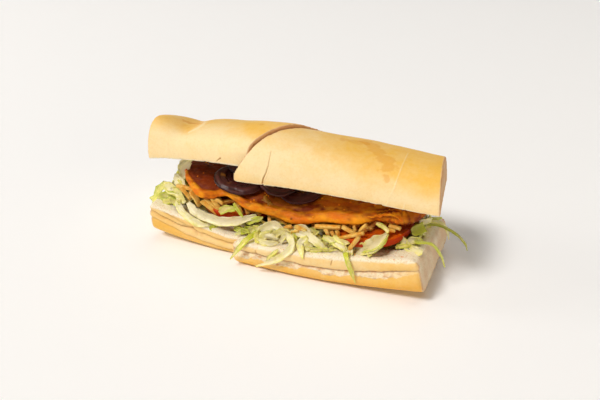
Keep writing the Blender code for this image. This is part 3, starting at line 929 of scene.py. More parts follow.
class Crust:
    """Stores the shares that the bread finish reads on a body's points."""

    # The last two shares hold real stains with the painted shade of the dent, and painted shade in
    # creases and cracks.
    NAMES = ("bake", "crumb", "rim", "stain", "crease")

    def __init__(self, shape: Shape) -> None:
        """Make the layers on the body."""
        self.layers = {name: shape.verts.layers.float.new(name) for name in self.NAMES}

    def set(self, vert: bmesh.types.BMVert, **shares: float) -> None:
        """Store shares between 0 and 1 on one point."""
        for name, value in shares.items():
            vert[self.layers[name]] = held(value)


@dataclass
class BreadHalf:
    """What lower bread and lid share: their side of the cut and how they are cut out.

    Attributes:
        half: Which half it is.
        crack_lines: Lines along which the crust is cracked.
        cell: Width of a face of the fine mesh.
        along_step: Step along the roll of the plain section.
        round_steps: Steps round the plain section.
    """

    half: Half
    crack_lines: Sequence[Line] = ()
    cell: float = 0.8
    along_step: float = 1.5
    round_steps: int = 150

    @property
    def right(self) -> bool:
        """Whether this is the right half."""
        return self.half is Half.RIGHT

    def ring(self, x: float, v: float) -> Vector:
        """Point at x and at the share v round the section; each kind has its own."""
        raise NotImplementedError

    def cut_out(self, start: float, end: float, cut: Point,
                end_plane: tuple[Vector, Vector]) -> Shape:
        """Draw the section along the roll, cut it on the slant and trim its right end.

        Args:
            start: Where the section begins.
            end: Where it stops.
            cut: A point of the slanting cut.
            end_plane: Point and outward normal of the right half's trimmed end.

        Returns:
            The half, with a fine even mesh.
        """
        shape = closed_tube(round((end - start) / self.along_step), self.round_steps,
                            lambda u, v: self.ring(start + (end - start) * u, v))
        normal = ROLL.cut_normal() * (1.0 if self.right else -1.0)
        slice_off(shape, Vector(cut) + normal * ROLL.cut_gap / 2, -normal)
        if self.right:
            slice_off(shape, *end_plane)
        return fine_skin(shape, self.cell, 3)


@dataclass
class LowerBread(BreadHalf):
    """One lower half of the roll: open crumb above, folded or torn crust at the side.

    The lines hold places along X and heights.

    Attributes:
        front_end: Share of the way round where the front side ends.
        back_start: Share where the back side starts, and back_end where it ends.
        flat_half: Half the share that the underside or the crumb takes.
        folds: Depth, start, end and line of each fold of the left half, from the top down.
        tear_top: Upper edge of the tear along the right half; tear_foot is the lower one.
    """

    front_end: float = 0.28
    back_start: float = 0.5
    back_end: float = 0.78
    flat_half: float = 0.11
    folds: Sequence[tuple[float, float, float, Profile]] = (
        (1.1, -110.0, -72.0, ((-107.5, 30.2), (-98.0, 27.4), (-88.0, 22.8), (-76.0, 18.4),
                              (-69.0, 16.4))),
        (1.8, -110.0, -68.0, ((-107.5, 26.4), (-95.2, 20.6), (-81.2, 16.9), (-71.0, 16.2),
                              (-66.0, 14.5))),
        (1.3, -67.5, 60.0, ((-70.0, 13.8), (-66.8, 15.1), (-51.2, 11.9), (-39.4, 11.1),
                            (60.0, 11.5))),
        (0.8, -110.0, 60.0, ((-107.5, 20.0), (-91.0, 14.5), (-75.0, 9.6), (-60.5, 6.8),
                             (-45.0, 5.2), (60.0, 5.6))),
    )
    tear_top: Profile = (
        (-40.0, 14.8), (-25.0, 13.8), (-6.8, 13.4), (24.0, 13.0), (39.0, 13.7), (57.0, 15.6),
        (66.0, 17.4), (78.0, 20.2), (88.0, 23.2), (98.0, 25.9), (106.0, 28.3), (116.0, 30.5))
    tear_foot: Profile = (
        (-40.0, 7.8), (-5.0, 7.7), (6.5, 8.4), (37.0, 8.8), (50.0, 9.9), (64.0, 11.7),
        (80.0, 14.8), (90.0, 18.0), (98.0, 22.3), (104.0, 25.6), (116.0, 29.5))

    def ring(self, x: float, v: float) -> Vector:
        """Point of the section, which runs from the front edge down and round.

        Args:
            x: Place along the roll.
            v: Share of the way round.

        Returns:
            The point.
        """
        mid = ROLL.mid(self.right)
        foot = ROLL.half_width - ROLL.corner
        base = ROLL.floor(x)
        if v < self.front_end or self.back_start <= v < self.back_end:
            side = -1.0 if v < self.front_end else 1.0
            level = 1.0 - v / self.front_end if side < 0 else (v - self.back_start) / self.front_end
            top = ROLL.crumb(x, mid + side * ROLL.half_width, self.right)
            y = mid + side * ROLL.wall_width(x, level, self.right)
            return Vector((x, y, base + (top - base) * level))
        if v < self.back_start:
            return Vector((x, mid + foot * ((v - self.front_end) / self.flat_half - 1.0), base))
        y = mid + (ROLL.half_width - 1.2) * (1.0 - (v - self.back_end) / self.flat_half)
        return Vector((x, y, ROLL.crumb(x, y, self.right)))

    def body(self) -> Shape:
        """Make the plain half, before its side is folded or torn.

        Returns:
            The half, its edges worn round.
        """
        start, end = (-52.0, ROLL.right_end + 8.0) if self.right else (ROLL.left_end, 48.0)
        shape = self.cut_out(start, end, ROLL.lower_cut, ROLL.end_plane())
        soften(shape, lambda co: ROLL.crumb(co.x, co.y, self.right) - co.z < 2.6
               and abs(co.y - ROLL.mid(self.right)) > ROLL.half_width - 4.0, 7)
        soften(shape, lambda co: self.to_end(co) < 5.0, 9)
        if self.right:
            self.wear_end(shape)
        return shape

    def wear_end(self, shape: Shape) -> None:
        """Round the crumb over into the torn right end, and the side a little less.

        Args:
            shape: The half.
        """
        _, end_normal = ROLL.end_plane()
        mid = ROLL.mid(True)
        for vert in shape.verts:
            point = vert.co
            inside = self.to_end(point)
            below = ROLL.crumb(point.x, point.y, True) - point.z
            beside = ROLL.half_width - abs(point.y - mid)
            for depth, reach, way in (
                    (below, 7.0, UP),
                    (beside, 4.0, Vector((0.0, math.copysign(1.0, point.y - mid), 0.0)))):
                if inside < reach and depth < reach:
                    gap = math.hypot(reach - inside, reach - depth)
                    if gap > reach:
                        pull = 1.0 - reach / gap
                        vert.co -= end_normal * (reach - inside) * pull + way * (reach - depth) * pull

    def to_end(self, point: Vector) -> float:
        """Measure from the trimmed end.

        Args:
            point: Where to measure.

        Returns:
            Distance from the end, inwards.
        """
        if self.right:
            end_point, end_normal = ROLL.end_plane()
            return -(point - end_point).dot(end_normal)
        return point.x - ROLL.left_end

    def tear(self, point: Vector) -> tuple[float, float, float, float]:
        """Side of the right half, torn open along the middle.

        Args:
            point: A point of the side.

        Returns:
            Depth, torn share, bake and painted shade in the creases there.
        """
        x, z = point.x, point.z
        along = Vector((x, 0.0, 0.0))
        top = height_on(self.tear_top, x) + 0.7 * grain(along, 9.0, 3.0) + 0.35 * grain(along, 2.5, 1.0)
        foot = height_on(self.tear_foot, x) + 1.1 * crags(along, 4.0, 4, 8.0)
        foot += 2.6 * rising((grain(along, 17.0, 33.0) - 0.05) / 0.3)
        foot = min(foot, top - 0.7)
        fade = falling((x - 80.0) / 24.0)
        inside = rising((z - foot + 0.3) / 0.6) * falling((z - top + 0.3) / 0.6)
        share = held((z - foot) / max(1.0, top - foot))
        flakes = crags(Vector((x * 0.4, point.y, z * 1.8)), 3.0, 4, 5.0)
        depth = inside * (fade * (0.3 + 1.2 * share ** 2 - 1.1 * max(0.0, flakes))
                          + (1.0 - fade) * 0.4 * share)
        depth += (0.5 + 1.3 * fade) * hump(z, top - 0.4, 0.7)
        rise = ROLL.crumb(x, ROLL.mid(True) - ROLL.half_width, True)
        base = ROLL.floor(x)
        depth -= 1.1 * hump(z, (top + rise) / 2, max(2.0, (rise - top) * 0.42))
        depth -= 0.9 * hump(z, (foot + base) / 2, max(2.0, (foot - base) * 0.45))
        depth -= 0.8 * fade * hump(z, foot + 0.5, 0.7) * max(0.0, grain(along, 2.2, 9.0) + 0.2)
        lip = 0.3 + 0.3 * rising((x - 58.0) / 24.0)
        # The lowest band is more golden: partly the real bottom crust, partly painted warm light bounced
        # up from below.
        bake = smooth(1.0, 0.75, (z - base) / max(3.0, foot - base)) if z < foot else lip
        # Painted shade: darken the groove under the torn upper edge and the torn flakes.
        crease = hump(z, top - 0.4, 0.6) * (0.3 + 0.7 * fade) * (0.75 + 0.7 * grain(along, 8.0, 12.0))
        crease += 0.7 * fade * inside * rising((flakes - 0.25) / 0.4)
        return depth, inside * (0.2 + 0.6 * fade), bake, crease

    def fold(self, point: Vector) -> tuple[float, float, float, float]:
        """Side of the left half, pressed into folds.

        Args:
            point: A point of the side.

        Returns:
            Depth, torn share, bake and crease there.
        """
        x, z = point.x, point.z
        depth, stain = 0.0, 0.0
        sway = 0.5 * grain(Vector((x, 0.0, 0.0)), 11.0, 6.0)
        heights = []
        for deep, start, end, line in self.folds:
            here = rising((x - start) / 5.0) * falling((x - end) / 5.0)
            height = height_on(line, x) + sway
            heights.append(height if here > 0.1 else None)
            depth += here * deep * hump(z, height, 0.85) + here * 0.4 * deep * hump(z, height - 0.8, 1.6)
            # Painted shade: darken the creases of the folds; this share goes back as the shade in the
            # creases.
            stain += here * 0.34 * deep * hump(z, height - 0.1, 0.55)
        upper, lower, single, foot = heights
        if upper is not None and lower is not None:
            depth -= 0.6 * hump(z, (upper + lower) / 2, 1.4)
        rolled = lower if lower is not None else single
        if rolled is not None and foot is not None:
            depth -= 1.0 * hump(z, (rolled + foot) / 2, (rolled - foot) * 0.42)
        pinch, share = line_distance(Vector((x, 0.0, z)), ((-71.5, 0.0, 18.0), (-68.8, 0.0, 15.2),
                                                          (-66.5, 0.0, 12.6)))
        depth += 1.3 * hump(pinch, 0.0, 0.9) * (1.0 - 0.5 * share)
        depth -= 0.9 * hump(math.hypot(x + 65.0, z - 14.0), 0.0, 2.2)
        # Painted shade in the pinch as well.
        stain += 0.45 * hump(pinch, 0.0, 0.6)
        bake = 0.65 if upper is not None and z > upper else 0.5
        if upper is None:
            bake = 0.65 if rolled is not None and z > rolled else 0.5
        # The band under the lowest fold is more golden: partly the real bottom crust, partly painted
        # warm light bounced up from below.
        if foot is not None and z < foot:
            bake = 0.8
        return depth, 0.0, bake, stain

    def dress(self) -> Shape:
        """Fold or tear the side, open the crumb and store the shares.

        Returns:
            The finished half.
        """
        shape = self.body()
        for line in self.crack_lines:
            refine(shape, lambda co, line=line: line_distance(co, line)[0] < 2.2, 2)
        crust = Crust(shape)
        shape.normal_update()
        mid = ROLL.mid(self.right)
        moves = []
        for vert in shape.verts:
            point = vert.co.copy()
            under_top = ROLL.crumb(point.x, point.y, self.right) - point.z
            ends = min(ROLL.to_cut(point, ROLL.lower_cut), self.to_end(point))
            ragged = 0.5 * crags(point, 3.0, 2, 40.0)
            top = falling((under_top - 1.5 + ragged) / 1.2) * rising(vert.normal.z * 3.0)
            end_turn = abs(vert.normal.dot(ROLL.end_plane()[1])) if self.to_end(point) < 6.0 else \
                abs(vert.normal.dot(ROLL.cut_normal()))
            face = falling((ends - 0.6) / 1.0) if end_turn < 0.75 else \
                falling((ends - 3.5) / 1.5)
            across = abs(point.y - mid)
            if self.right and vert.normal.z > -0.3:
                inner = rising((ROLL.half_width - 1.6 - across) / 2.0)
                face = max(face, inner * falling((self.to_end(point) - 7.0) / 2.0))
            depth, torn, bake, crease = 0.0, 0.0, 0.7, 0.0
            side = rising((across - ROLL.half_width + ROLL.corner + 2.0) / 2.0) \
                * rising(abs(vert.normal.y) * 2.2)
            if side > 0.0 and top < 0.9:
                depth, torn, bake, crease = self.tear(point) if self.right else self.fold(point)
                calm = side * (1.0 - top) * rising((ends + 0.6) / 2.5)
                depth, torn, crease = depth * calm, torn * side * (1.0 - top), crease * calm
            level_width = ROLL.wall_width(point.x, 0.6, self.right)
            skin = min(level_width - across, point.z - ROLL.floor(point.x))
            rim = face * falling((skin - 0.7) / 1.4) * 0.55
            if self.right:
                rim += face * (0.34 + 0.25 * grain(point, 9.0, 2.0)) \
                    * falling((self.to_end(point) - 1.0) / 2.0)
            open_crumb = max(top, face, torn)
            pits = crags(point, 3.6, 4, 2.0 if self.right else 9.0)
            depth += open_crumb * (0.55 * max(0.0, pits) - 0.22 + 0.12 * grain(point, 1.5, 3.0))
            depth += (1.0 - open_crumb) * 0.16 * grain(point, 9.0, 4.0)
            for line in self.crack_lines:
                gap, _ = line_distance(point, line)
                depth += 0.7 * hump(gap, 0.0, 0.4)
                # Painted shade along the cracks.
                crease += 0.6 * hump(gap, 0.0, 0.5)
            corner_tear = 0.0
            if self.right:
                corner_tear = hump(point.x + 30.0, 0.0, 5.0) * hump(point.z, 14.0, 6.0)
            depth += corner_tear * side * crags(point, 3.4, 3, 15.0)
            rim += torn * 0.45 * rising(crags(point, 4.0, 3, 19.0) / 0.5)
            # Painted shade: the torn creases also take the brown of the rim.
            rim += torn * 0.9 * min(1.0, crease)
            stain = 0.5 * rising((bake - 0.7) / 0.25) * side * (1.0 - open_crumb)
            crust.set(vert, bake=bake, crumb=max(open_crumb, corner_tear * side), rim=rim, stain=stain,
                      crease=crease * (1.0 - top))
            moves.append((vert, point - vert.normal * depth))
        for vert, place in moves:
            vert.co = place
            if vert.normal.z < -0.5:
                vert.co.z = max(vert.co.z, ROLL.floor(place.x) - 0.05)
        return shape


@dataclass
class Lid(BreadHalf):
    """One upper half of the roll: a domed crust over a crumb underside.

    Attributes:
        pale_lines: Lines along which the crust is scratched pale.
        stains: Line, reach and strength of each stained patch.
        dome_share: Share of the section that the dome takes.
        under_share: Share that the crumb underside takes.
    """

    pale_lines: Sequence[Line] = ()
    stains: Sequence[tuple[Line, float, float]] = ()
    dome_share: float = 0.66
    under_share: float = 0.34

    def ring(self, x: float, v: float) -> Vector:
        """Point of the section, which runs from the front edge up and round.

        Args:
            x: Place along the roll.
            v: Share of the way round.

        Returns:
            The point.
        """
        edge_y, edge_z, slope, rise = ROLL.lid(x, self.right)
        mid = edge_y + ROLL.lid_half_width
        if v <= self.dome_share:
            angle = math.pi * v / self.dome_share
            y = mid - ROLL.lid_half_width * signed_power(math.cos(angle), ROLL.lid_power)
            height = max(1.2, rise * signed_power(math.sin(angle), ROLL.lid_power))
            wave = 0.5 * math.sin(x * 0.05 + angle * 2.0) * math.sin(angle)
            out = Vector((0.0, (y - mid) / ROLL.lid_half_width, height / rise)).normalized()
            out *= ROLL.lid_swell(x, y, angle, self.right)
            return Vector((x, y, edge_z - slope * (y - edge_y) + height + wave)) + out
        k = 1.0 - 2.0 * (v - self.dome_share) / self.under_share
        y = mid + ROLL.lid_half_width * k
        lift = 1.2 * rising((abs(k) - 0.95) / 0.05)
        forward = ROLL.lid_swell(x, y, 0.0, self.right) * max(0.0, -k) ** 4
        return Vector((x, y - forward, ROLL.lid_under(x, y, self.right) + lift))

    def body(self) -> Shape:
        """The plain half of the lid."""
        start, end = (-46.0, ROLL.right_end + 2.0) if self.right else (ROLL.lid_left, 48.0)
        return self.cut_out(start, end, ROLL.lid_cut, ROLL.lid_end_plane())

    def bake(self, point: Vector, height: float) -> float:
        """How golden the crust is.

        Args:
            point: A point of the crust.
            height: Its height as a share of the dome's.

        Returns:
            Share of the golden colour; it may leave the range from 0 to 1.
        """
        uneven = 0.16 * crags(point, 24.0, 3, 1.0 if self.right else 6.0)
        behind = smooth(0.0, 0.5, (point.y - 8.0) / 20.0)
        if self.right:
            start = smooth(0.74, 0.3, (point.x + 5.0) / 75.0)
            return smooth(0.08, 0.9, (height - start + uneven) / 0.62) + behind * 0.4 \
                + 0.3 * falling(height / 0.3)
        start = smooth(0.7, 0.56, (point.x + 90.0) / 70.0)
        return smooth(0.05, 0.9, (height - start + uneven) / 0.42) + behind * 0.4

    def beside(self, point: Vector, line: Line) -> tuple[float, float]:
        """Distance from a line on the front, seen from the front.

        Args:
            point: A point of the crust.
            line: Corners of the line.

        Returns:
            The distance and the share of the line passed; a point at the back is far off.
        """
        if point.y > ROLL.lid_front(self.right) + ROLL.lid_half_width:
            return 99.0, 0.0
        return line_distance(Vector((point.x, 0.0, point.z)), [(x, 0.0, z) for x, _, z in line])

    def dress(self) -> Shape:
        """Dent, wrinkle and crack the crust, paint shade into the dent and the cracks, open the crumb
        and store the shares.

        Returns:
            The finished half.
        """
        shape = self.body()
        for line in (*self.crack_lines, *self.pale_lines):
            refine(shape, lambda co, line=line: self.beside(co, line)[0] < 2.4, 2)
        crust = Crust(shape)
        shape.normal_update()
        moves = []
        for vert in shape.verts:
            point = vert.co.copy()
            edge_y, edge_z, slope, rise = ROLL.lid(point.x, self.right)
            over = point.z - ROLL.lid_under(point.x, point.y, self.right)
            under = falling((over - 0.7) / 0.9)
            to_cut = ROLL.to_cut(point, ROLL.lid_cut)
            if self.right:
                end_point, end_normal = ROLL.lid_end_plane()
                to_end = -(point - end_point).dot(end_normal)
            else:
                to_end = point.x - ROLL.lid_left
            face = falling((min(to_cut, to_end) - 0.2) / 0.7)
            side = abs(point.y - edge_y - ROLL.lid_half_width) / ROLL.lid_half_width
            tall = max(0.0, point.z - edge_z + slope * (point.y - edge_y)) / rise
            skin = 30.0 * (1.0 - (side ** ROLL.lid_power + tall ** ROLL.lid_power)
                           ** (1.0 / ROLL.lid_power))
            crusty = 5.0 if not self.right and to_cut < 2.0 else 1.6
            rim = 0.8 * face * falling((skin - crusty) / 1.6) * (1.0 - under)
            if self.right and to_end < 2.0:
                rim = max(rim, face * (0.62 + 0.3 * grain(point, 8.0, 3.0)))
            open_crumb = max(under, face)
            pits = crags(point, 4.4, 4, 12.0 if self.right else 17.0)
            depth = open_crumb * (0.5 * max(0.0, pits) - 0.15)
            depth += (1.0 - open_crumb) * (0.22 * grain(point, 14.0, 4.0)
                                           + 0.05 * grain(point, 3.0, 2.0))
            nick = max(0.0, crags(Vector((point.x, 0.0, 0.0)), 5.0, 3, 21.0) - 0.2)
            depth += 1.1 * nick * falling(over / 1.8) * smooth(0.9, 1.0, side)
            bake, stain = self.bake(point, tall), 0.0
            # Painted shade in the nicks along the bottom edge.
            crease = 0.5 * nick * falling(over / 1.2)
            frayed = falling((over - 0.9) / 0.5) * rising(grain(point, 1.6, 8.0) + 0.6)
            open_crumb = max(open_crumb, 0.8 * frayed)
            bake -= 0.5 * falling((over - 0.3) / 1.0)
            if not self.right:
                wrinkle = hump(point.x, -90.0, 11.0) * hump(point.z, 74.0, 7.0) * (point.y < -5.0)
                depth += 0.12 * wrinkle * math.sin(point.x * 1.5 + point.z * 0.1)
                dent = hump(point.x, -84.0, 8.0) * rising((tall - 0.75) / 0.2)
                # Painted shade: the hollow of the dent is darkened with the colour of the stains.
                stain += 0.5 * dent * rising(0.5 + crags(point, 8.0, 3, 14.0))
            for line in self.crack_lines:
                gap, share = self.beside(point, line)
                wide = hump(gap, 0.0, 0.3 + 0.25 * share)
                depth += 0.8 * wide * (0.3 + 0.7 * share)
                # Darkened along each line: painted shade in the crack of the right lid, a real brown
                # smudge on the left lid.
                crease += (0.35 + 0.65 * share) * wide
                depth -= 0.25 * hump(gap, 1.0, 0.5) * share
            for line in self.pale_lines:
                gap, _ = self.beside(point, line)
                bake -= 0.5 * hump(gap, 0.0, 0.4)
                stain -= 0.5 * hump(gap, 0.0, 0.4)
                depth -= 0.2 * hump(gap, 0.0, 0.5)
            for line, reach, strength in self.stains:
                gap = line_distance(point, line)[0] / reach + 0.6 * crags(point, 6.0, 3, 31.0)
                stain += strength * falling((gap - 0.75) / 0.25)
            crust.set(vert, bake=bake, crumb=open_crumb, rim=rim, stain=stain * (1.0 - open_crumb),
                      crease=crease * (1.0 - under))
            moves.append((vert, point - vert.normal * depth))
        for vert, place in moves:
            vert.co = place
        return shape


# ------------------------------------------------------------------ the fillings

@dataclass
class Fillet:
    """One long fried fillet that sags with the roll, craggy all over.

    Its front face is a bright band under a browned ridge; towards the right end the
    ridge turns into a crisp wavy rim.
    """

    ends: tuple[float, float] = (-91.0, 106.0)
    mid_y: float = 3.5
    half_width: float = 28.5
    thickness: float = 9.0
    crown: float = 7.0
    low: tuple[float, float] = (3.0, 31.0)
    rise: tuple[float, float] = (0.165, 0.27)
    front_drop: Profile = (
        (-92, 1), (-78, 2), (-66, 3.4), (-57, 1.4), (-48, -3), (-40, -1.4), (-27, 0), (-8, 1.8),
        (10, 2.8), (30, 1.8), (45, 2.6), (62, 3.6), (74, 2.8), (80, 3.2), (88, 5.4), (97, 6.4),
        (107, 5))
    cell: float = 0.75
    char_line: Line = ((-34.5, -21.5, 45.5), (-27, -21.8, 44), (-19, -22, 42.2), (-10, -22.6, 40.8))
    rim_line: Line = ((20, -23.5, 42.5), (44, -23.5, 47), (60, -23.6, 49.6), (66.3, -23.6, 51.2),
                      (71.3, -23.6, 53.4), (78.2, -23.4, 55.4), (83.3, -23.2, 54.8),
                      (86.5, -23.2, 52))
    frill_line: Line = ((63, -23.6, 50.2), (67.5, -24.2, 51.6), (72, -24.8, 53.6),
                        (78.2, -25, 55.8), (83.6, -24.8, 55.2), (87, -24.2, 51.8))
    speck: Point = (6.3, -25.2, 36.5)

    def push(self, x: float) -> float:
        """How far the front outline stands forward at x: a lobe, then a notch beside it."""
        return 3.6 * hump(x, -66.0, 12.0) - 2.8 * hump(x, -46.0, 7.5)

    def drop(self, x: float, y: float) -> float:
        """How far the lower front edge hangs below the even underside."""
        across = (y - self.mid_y) / self.half_width
        return height_on(self.front_drop, x) * rising((-across - 0.45) / 0.45)

    def under(self, x: float, y: float) -> float:
        """Height of the fillet's underside."""
        return self.seat(x, y) - max(0.0, self.drop(x, y))

    def seat(self, x: float, y: float) -> float:
        """Height of the even underside, before the front edge hangs down.

        Args:
            x: Place along the roll.
            y: Place across it.

        Returns:
            The height.
        """
        reach = math.sqrt((x - self.low[0]) ** 2 + 225.0) - 15.0
        across = (y - self.mid_y) / self.half_width
        crown = self.crown * (1.0 - 0.65 * min(1.0, ((x - self.low[0]) / 95.0) ** 2))
        right = x > self.low[0]
        tilt = 0.16 * rising((x - 30.0) / 80.0) if right else 0.08 * rising((-x - 10.0) / 70.0)
        return (self.low[1] + self.rise[right] * reach + crown * max(0.0, 1.0 - across ** 2)
                - tilt * self.half_width * (across + 1.0))

    def half(self, x: float) -> float:
        """Half width of the fillet.

        Args:
            x: Place along the roll.

        Returns:
            The half width, tapered to the ends and a little wavy.
        """
        middle, reach = sum(self.ends) / 2, (self.ends[1] - self.ends[0]) / 2
        taper = max(0.12, 1.0 - abs((x - middle) / reach) ** (14 if x > middle else 8)) ** 0.5
        return (self.half_width + 0.9 * math.sin(x * 0.16)) * taper

    def front(self, x: float) -> float:
        """Y of the front outline at x."""
        return self.mid_y - self.half(x) - self.push(x)

    def ring(self, x: float, v: float) -> Vector:
        """Point of the fillet's section.

        Args:
            x: Place along the roll.
            v: Share of the way round.

        Returns:
            The point.
        """
        half = self.half(x)
        thick = self.thickness * (0.55 + 0.45 * half / self.half_width)
        angle = 2.0 * math.pi * v
        y = self.mid_y + half * signed_power(math.cos(angle), 2.9)
        if y < -10.0:
            y -= self.push(x) * (-10.0 - y) / 15.0
        height = signed_power(math.sin(angle), 2.6)
        rough = 0.35 * math.sin(x * 0.31 + y * 0.23) + 0.25 * math.sin(y * 0.5 - x * 0.17)
        z = self.seat(x, y) + self.thickness / 2 + height * thick / 2
        z -= self.drop(x, y) * (0.5 - 0.5 * height)
        return Vector((x, y, z + (rough if height > 0 else 0.0)))

    def dress(self) -> Shape:
        """Give the fillet its crags, crisp rim, frill and browned marks, with painted shade in its
        hollows, on its undersides, on its top and beside the frill, and a painted highlight on the crest
        of the frill.

        Returns:
            The finished fillet.
        """
        start, end = self.ends
        shape = fine_skin(closed_tube(200, 150, lambda u, v: self.ring(start + (end - start) * u, v)),
                          self.cell, 2)
        shape.normal_update()
        # The browned share holds real browning and painted shade; the next share holds scorch marks and
        # painted shade.
        browned = shape.verts.layers.float.new("browned")
        charred_and_shaded = shape.verts.layers.float.new("charred_and_shaded")
        moves = []
        for vert in shape.verts:
            point, normal = vert.co.copy(), vert.normal
            drawn = Vector((point.x * 0.5, point.y, point.z))
            lumps = crags(drawn, 6.5, 3, 3.0)
            crisp = abs(grain(point, 2.6, 7.0))
            rise = 0.6 * lumps + 0.26 * crisp + 0.3 * grain(drawn, 3.4, 22.0)
            along = Vector((point.x, 0.0, 0.0))
            behind = point.y - self.front(point.x)
            wander = 3.2 + 1.4 * grain(along, 14.0, 5.0)
            ridge = hump(behind, wander, 1.1) * rising(normal.z * 2.0) \
                * falling((point.x - 20.0) / 30.0) * rising((point.x + 74.0) / 10.0)
            ridge *= 0.6 + 0.6 * abs(grain(along, 5.0, 15.0))
            gap, share = line_distance(point, self.rim_line)
            lip = hump(gap, 0.0, 2.2) * rising(share * 2.5)
            wave = 0.6 + 0.4 * math.sin(point.x * 1.1 + 2.0 * grain(along, 9.0))
            rise += 1.1 * ridge + 0.4 * lip
            frill = hump(share, 0.76, 0.25)
            curl = 3.0 * lip * wave * frill
            facing = rising(-normal.y * 2.0)
            rise -= 0.9 * frill * hump(point.z, 50.5 + 0.15 * (point.x - 70.0), 1.6) * facing
            rise += 0.5 * frill * math.sin(point.x * 1.9 + 3.0 * grain(along, 6.0, 2.0)) * facing
            dip = hump(behind, wander + 2.6, 1.2) * rising(normal.z * 2.0)
            rise -= 0.5 * dip
            char_gap, _ = line_distance(point, self.char_line)
            top_side = rising((normal.z - 0.25) / 0.5) * rising((behind - wander) / 3.0)
            # Painted highlight on the crest of the frill and painted shade in two lines beside it; the
            # rest of the rim and the ridge are browned.
            brown = 0.3 * lip * (1.0 - frill) + 0.3 * ridge - 0.5 * frill * hump(gap, 0.0, 1.6)
            brown += 0.7 * frill * (hump(gap, 2.4, 0.8) + hump(gap, 5.5, 0.7))
            brown += 0.55 * rising((point.x - 87.0) / 4.0)
            # Partly real browning, partly painted shade of the lid on the fillet's top, strongest at the
            # left.
            brown += top_side * smooth(1.0, 0.45, (point.x + 60.0) / 110.0)
            brown += 0.22 * rising(crags(drawn, 9.0, 2, 11.0) / 0.8)
            # Painted shade: darker in the low hollows between the lumps.
            brown += 0.45 * rising(-0.1 - 1.2 * lumps - grain(drawn, 3.4, 22.0))
            # Painted shade: darker where the surface faces down.
            brown += 0.35 * rising((-normal.z - 0.1) / 0.4)
            vert[browned] = held(brown)
            burnt_and_shaded = hump(char_gap, 0.0, 0.8 + 0.9 * crisp) * (0.45 + 1.2 * max(0.0, lumps))
            # Painted shade of the lid on the top at the left end, with some real scorching.
            burnt_and_shaded += 0.6 * top_side * falling((point.x + 78.0) / 22.0) * (0.6 + 0.8 * lumps)
            burnt_and_shaded += hump((point - Vector(self.speck)).length, 0.0, 1.0)
            vert[charred_and_shaded] = held(burnt_and_shaded)
            moves.append((vert, point + normal * rise + Vector((0.0, -0.9, 0.7)) * curl))
        for vert, place in moves:
            vert.co = place
        frill = Shred(self.frill_line, 4.0, 0.0, cup=0.4, ruffle=1.5, tip=0.5,
                      facing=(0.1, 0.25, 1.0), thick=0.9)
        absorb(shape, frill.dress(3.0))
        return shape


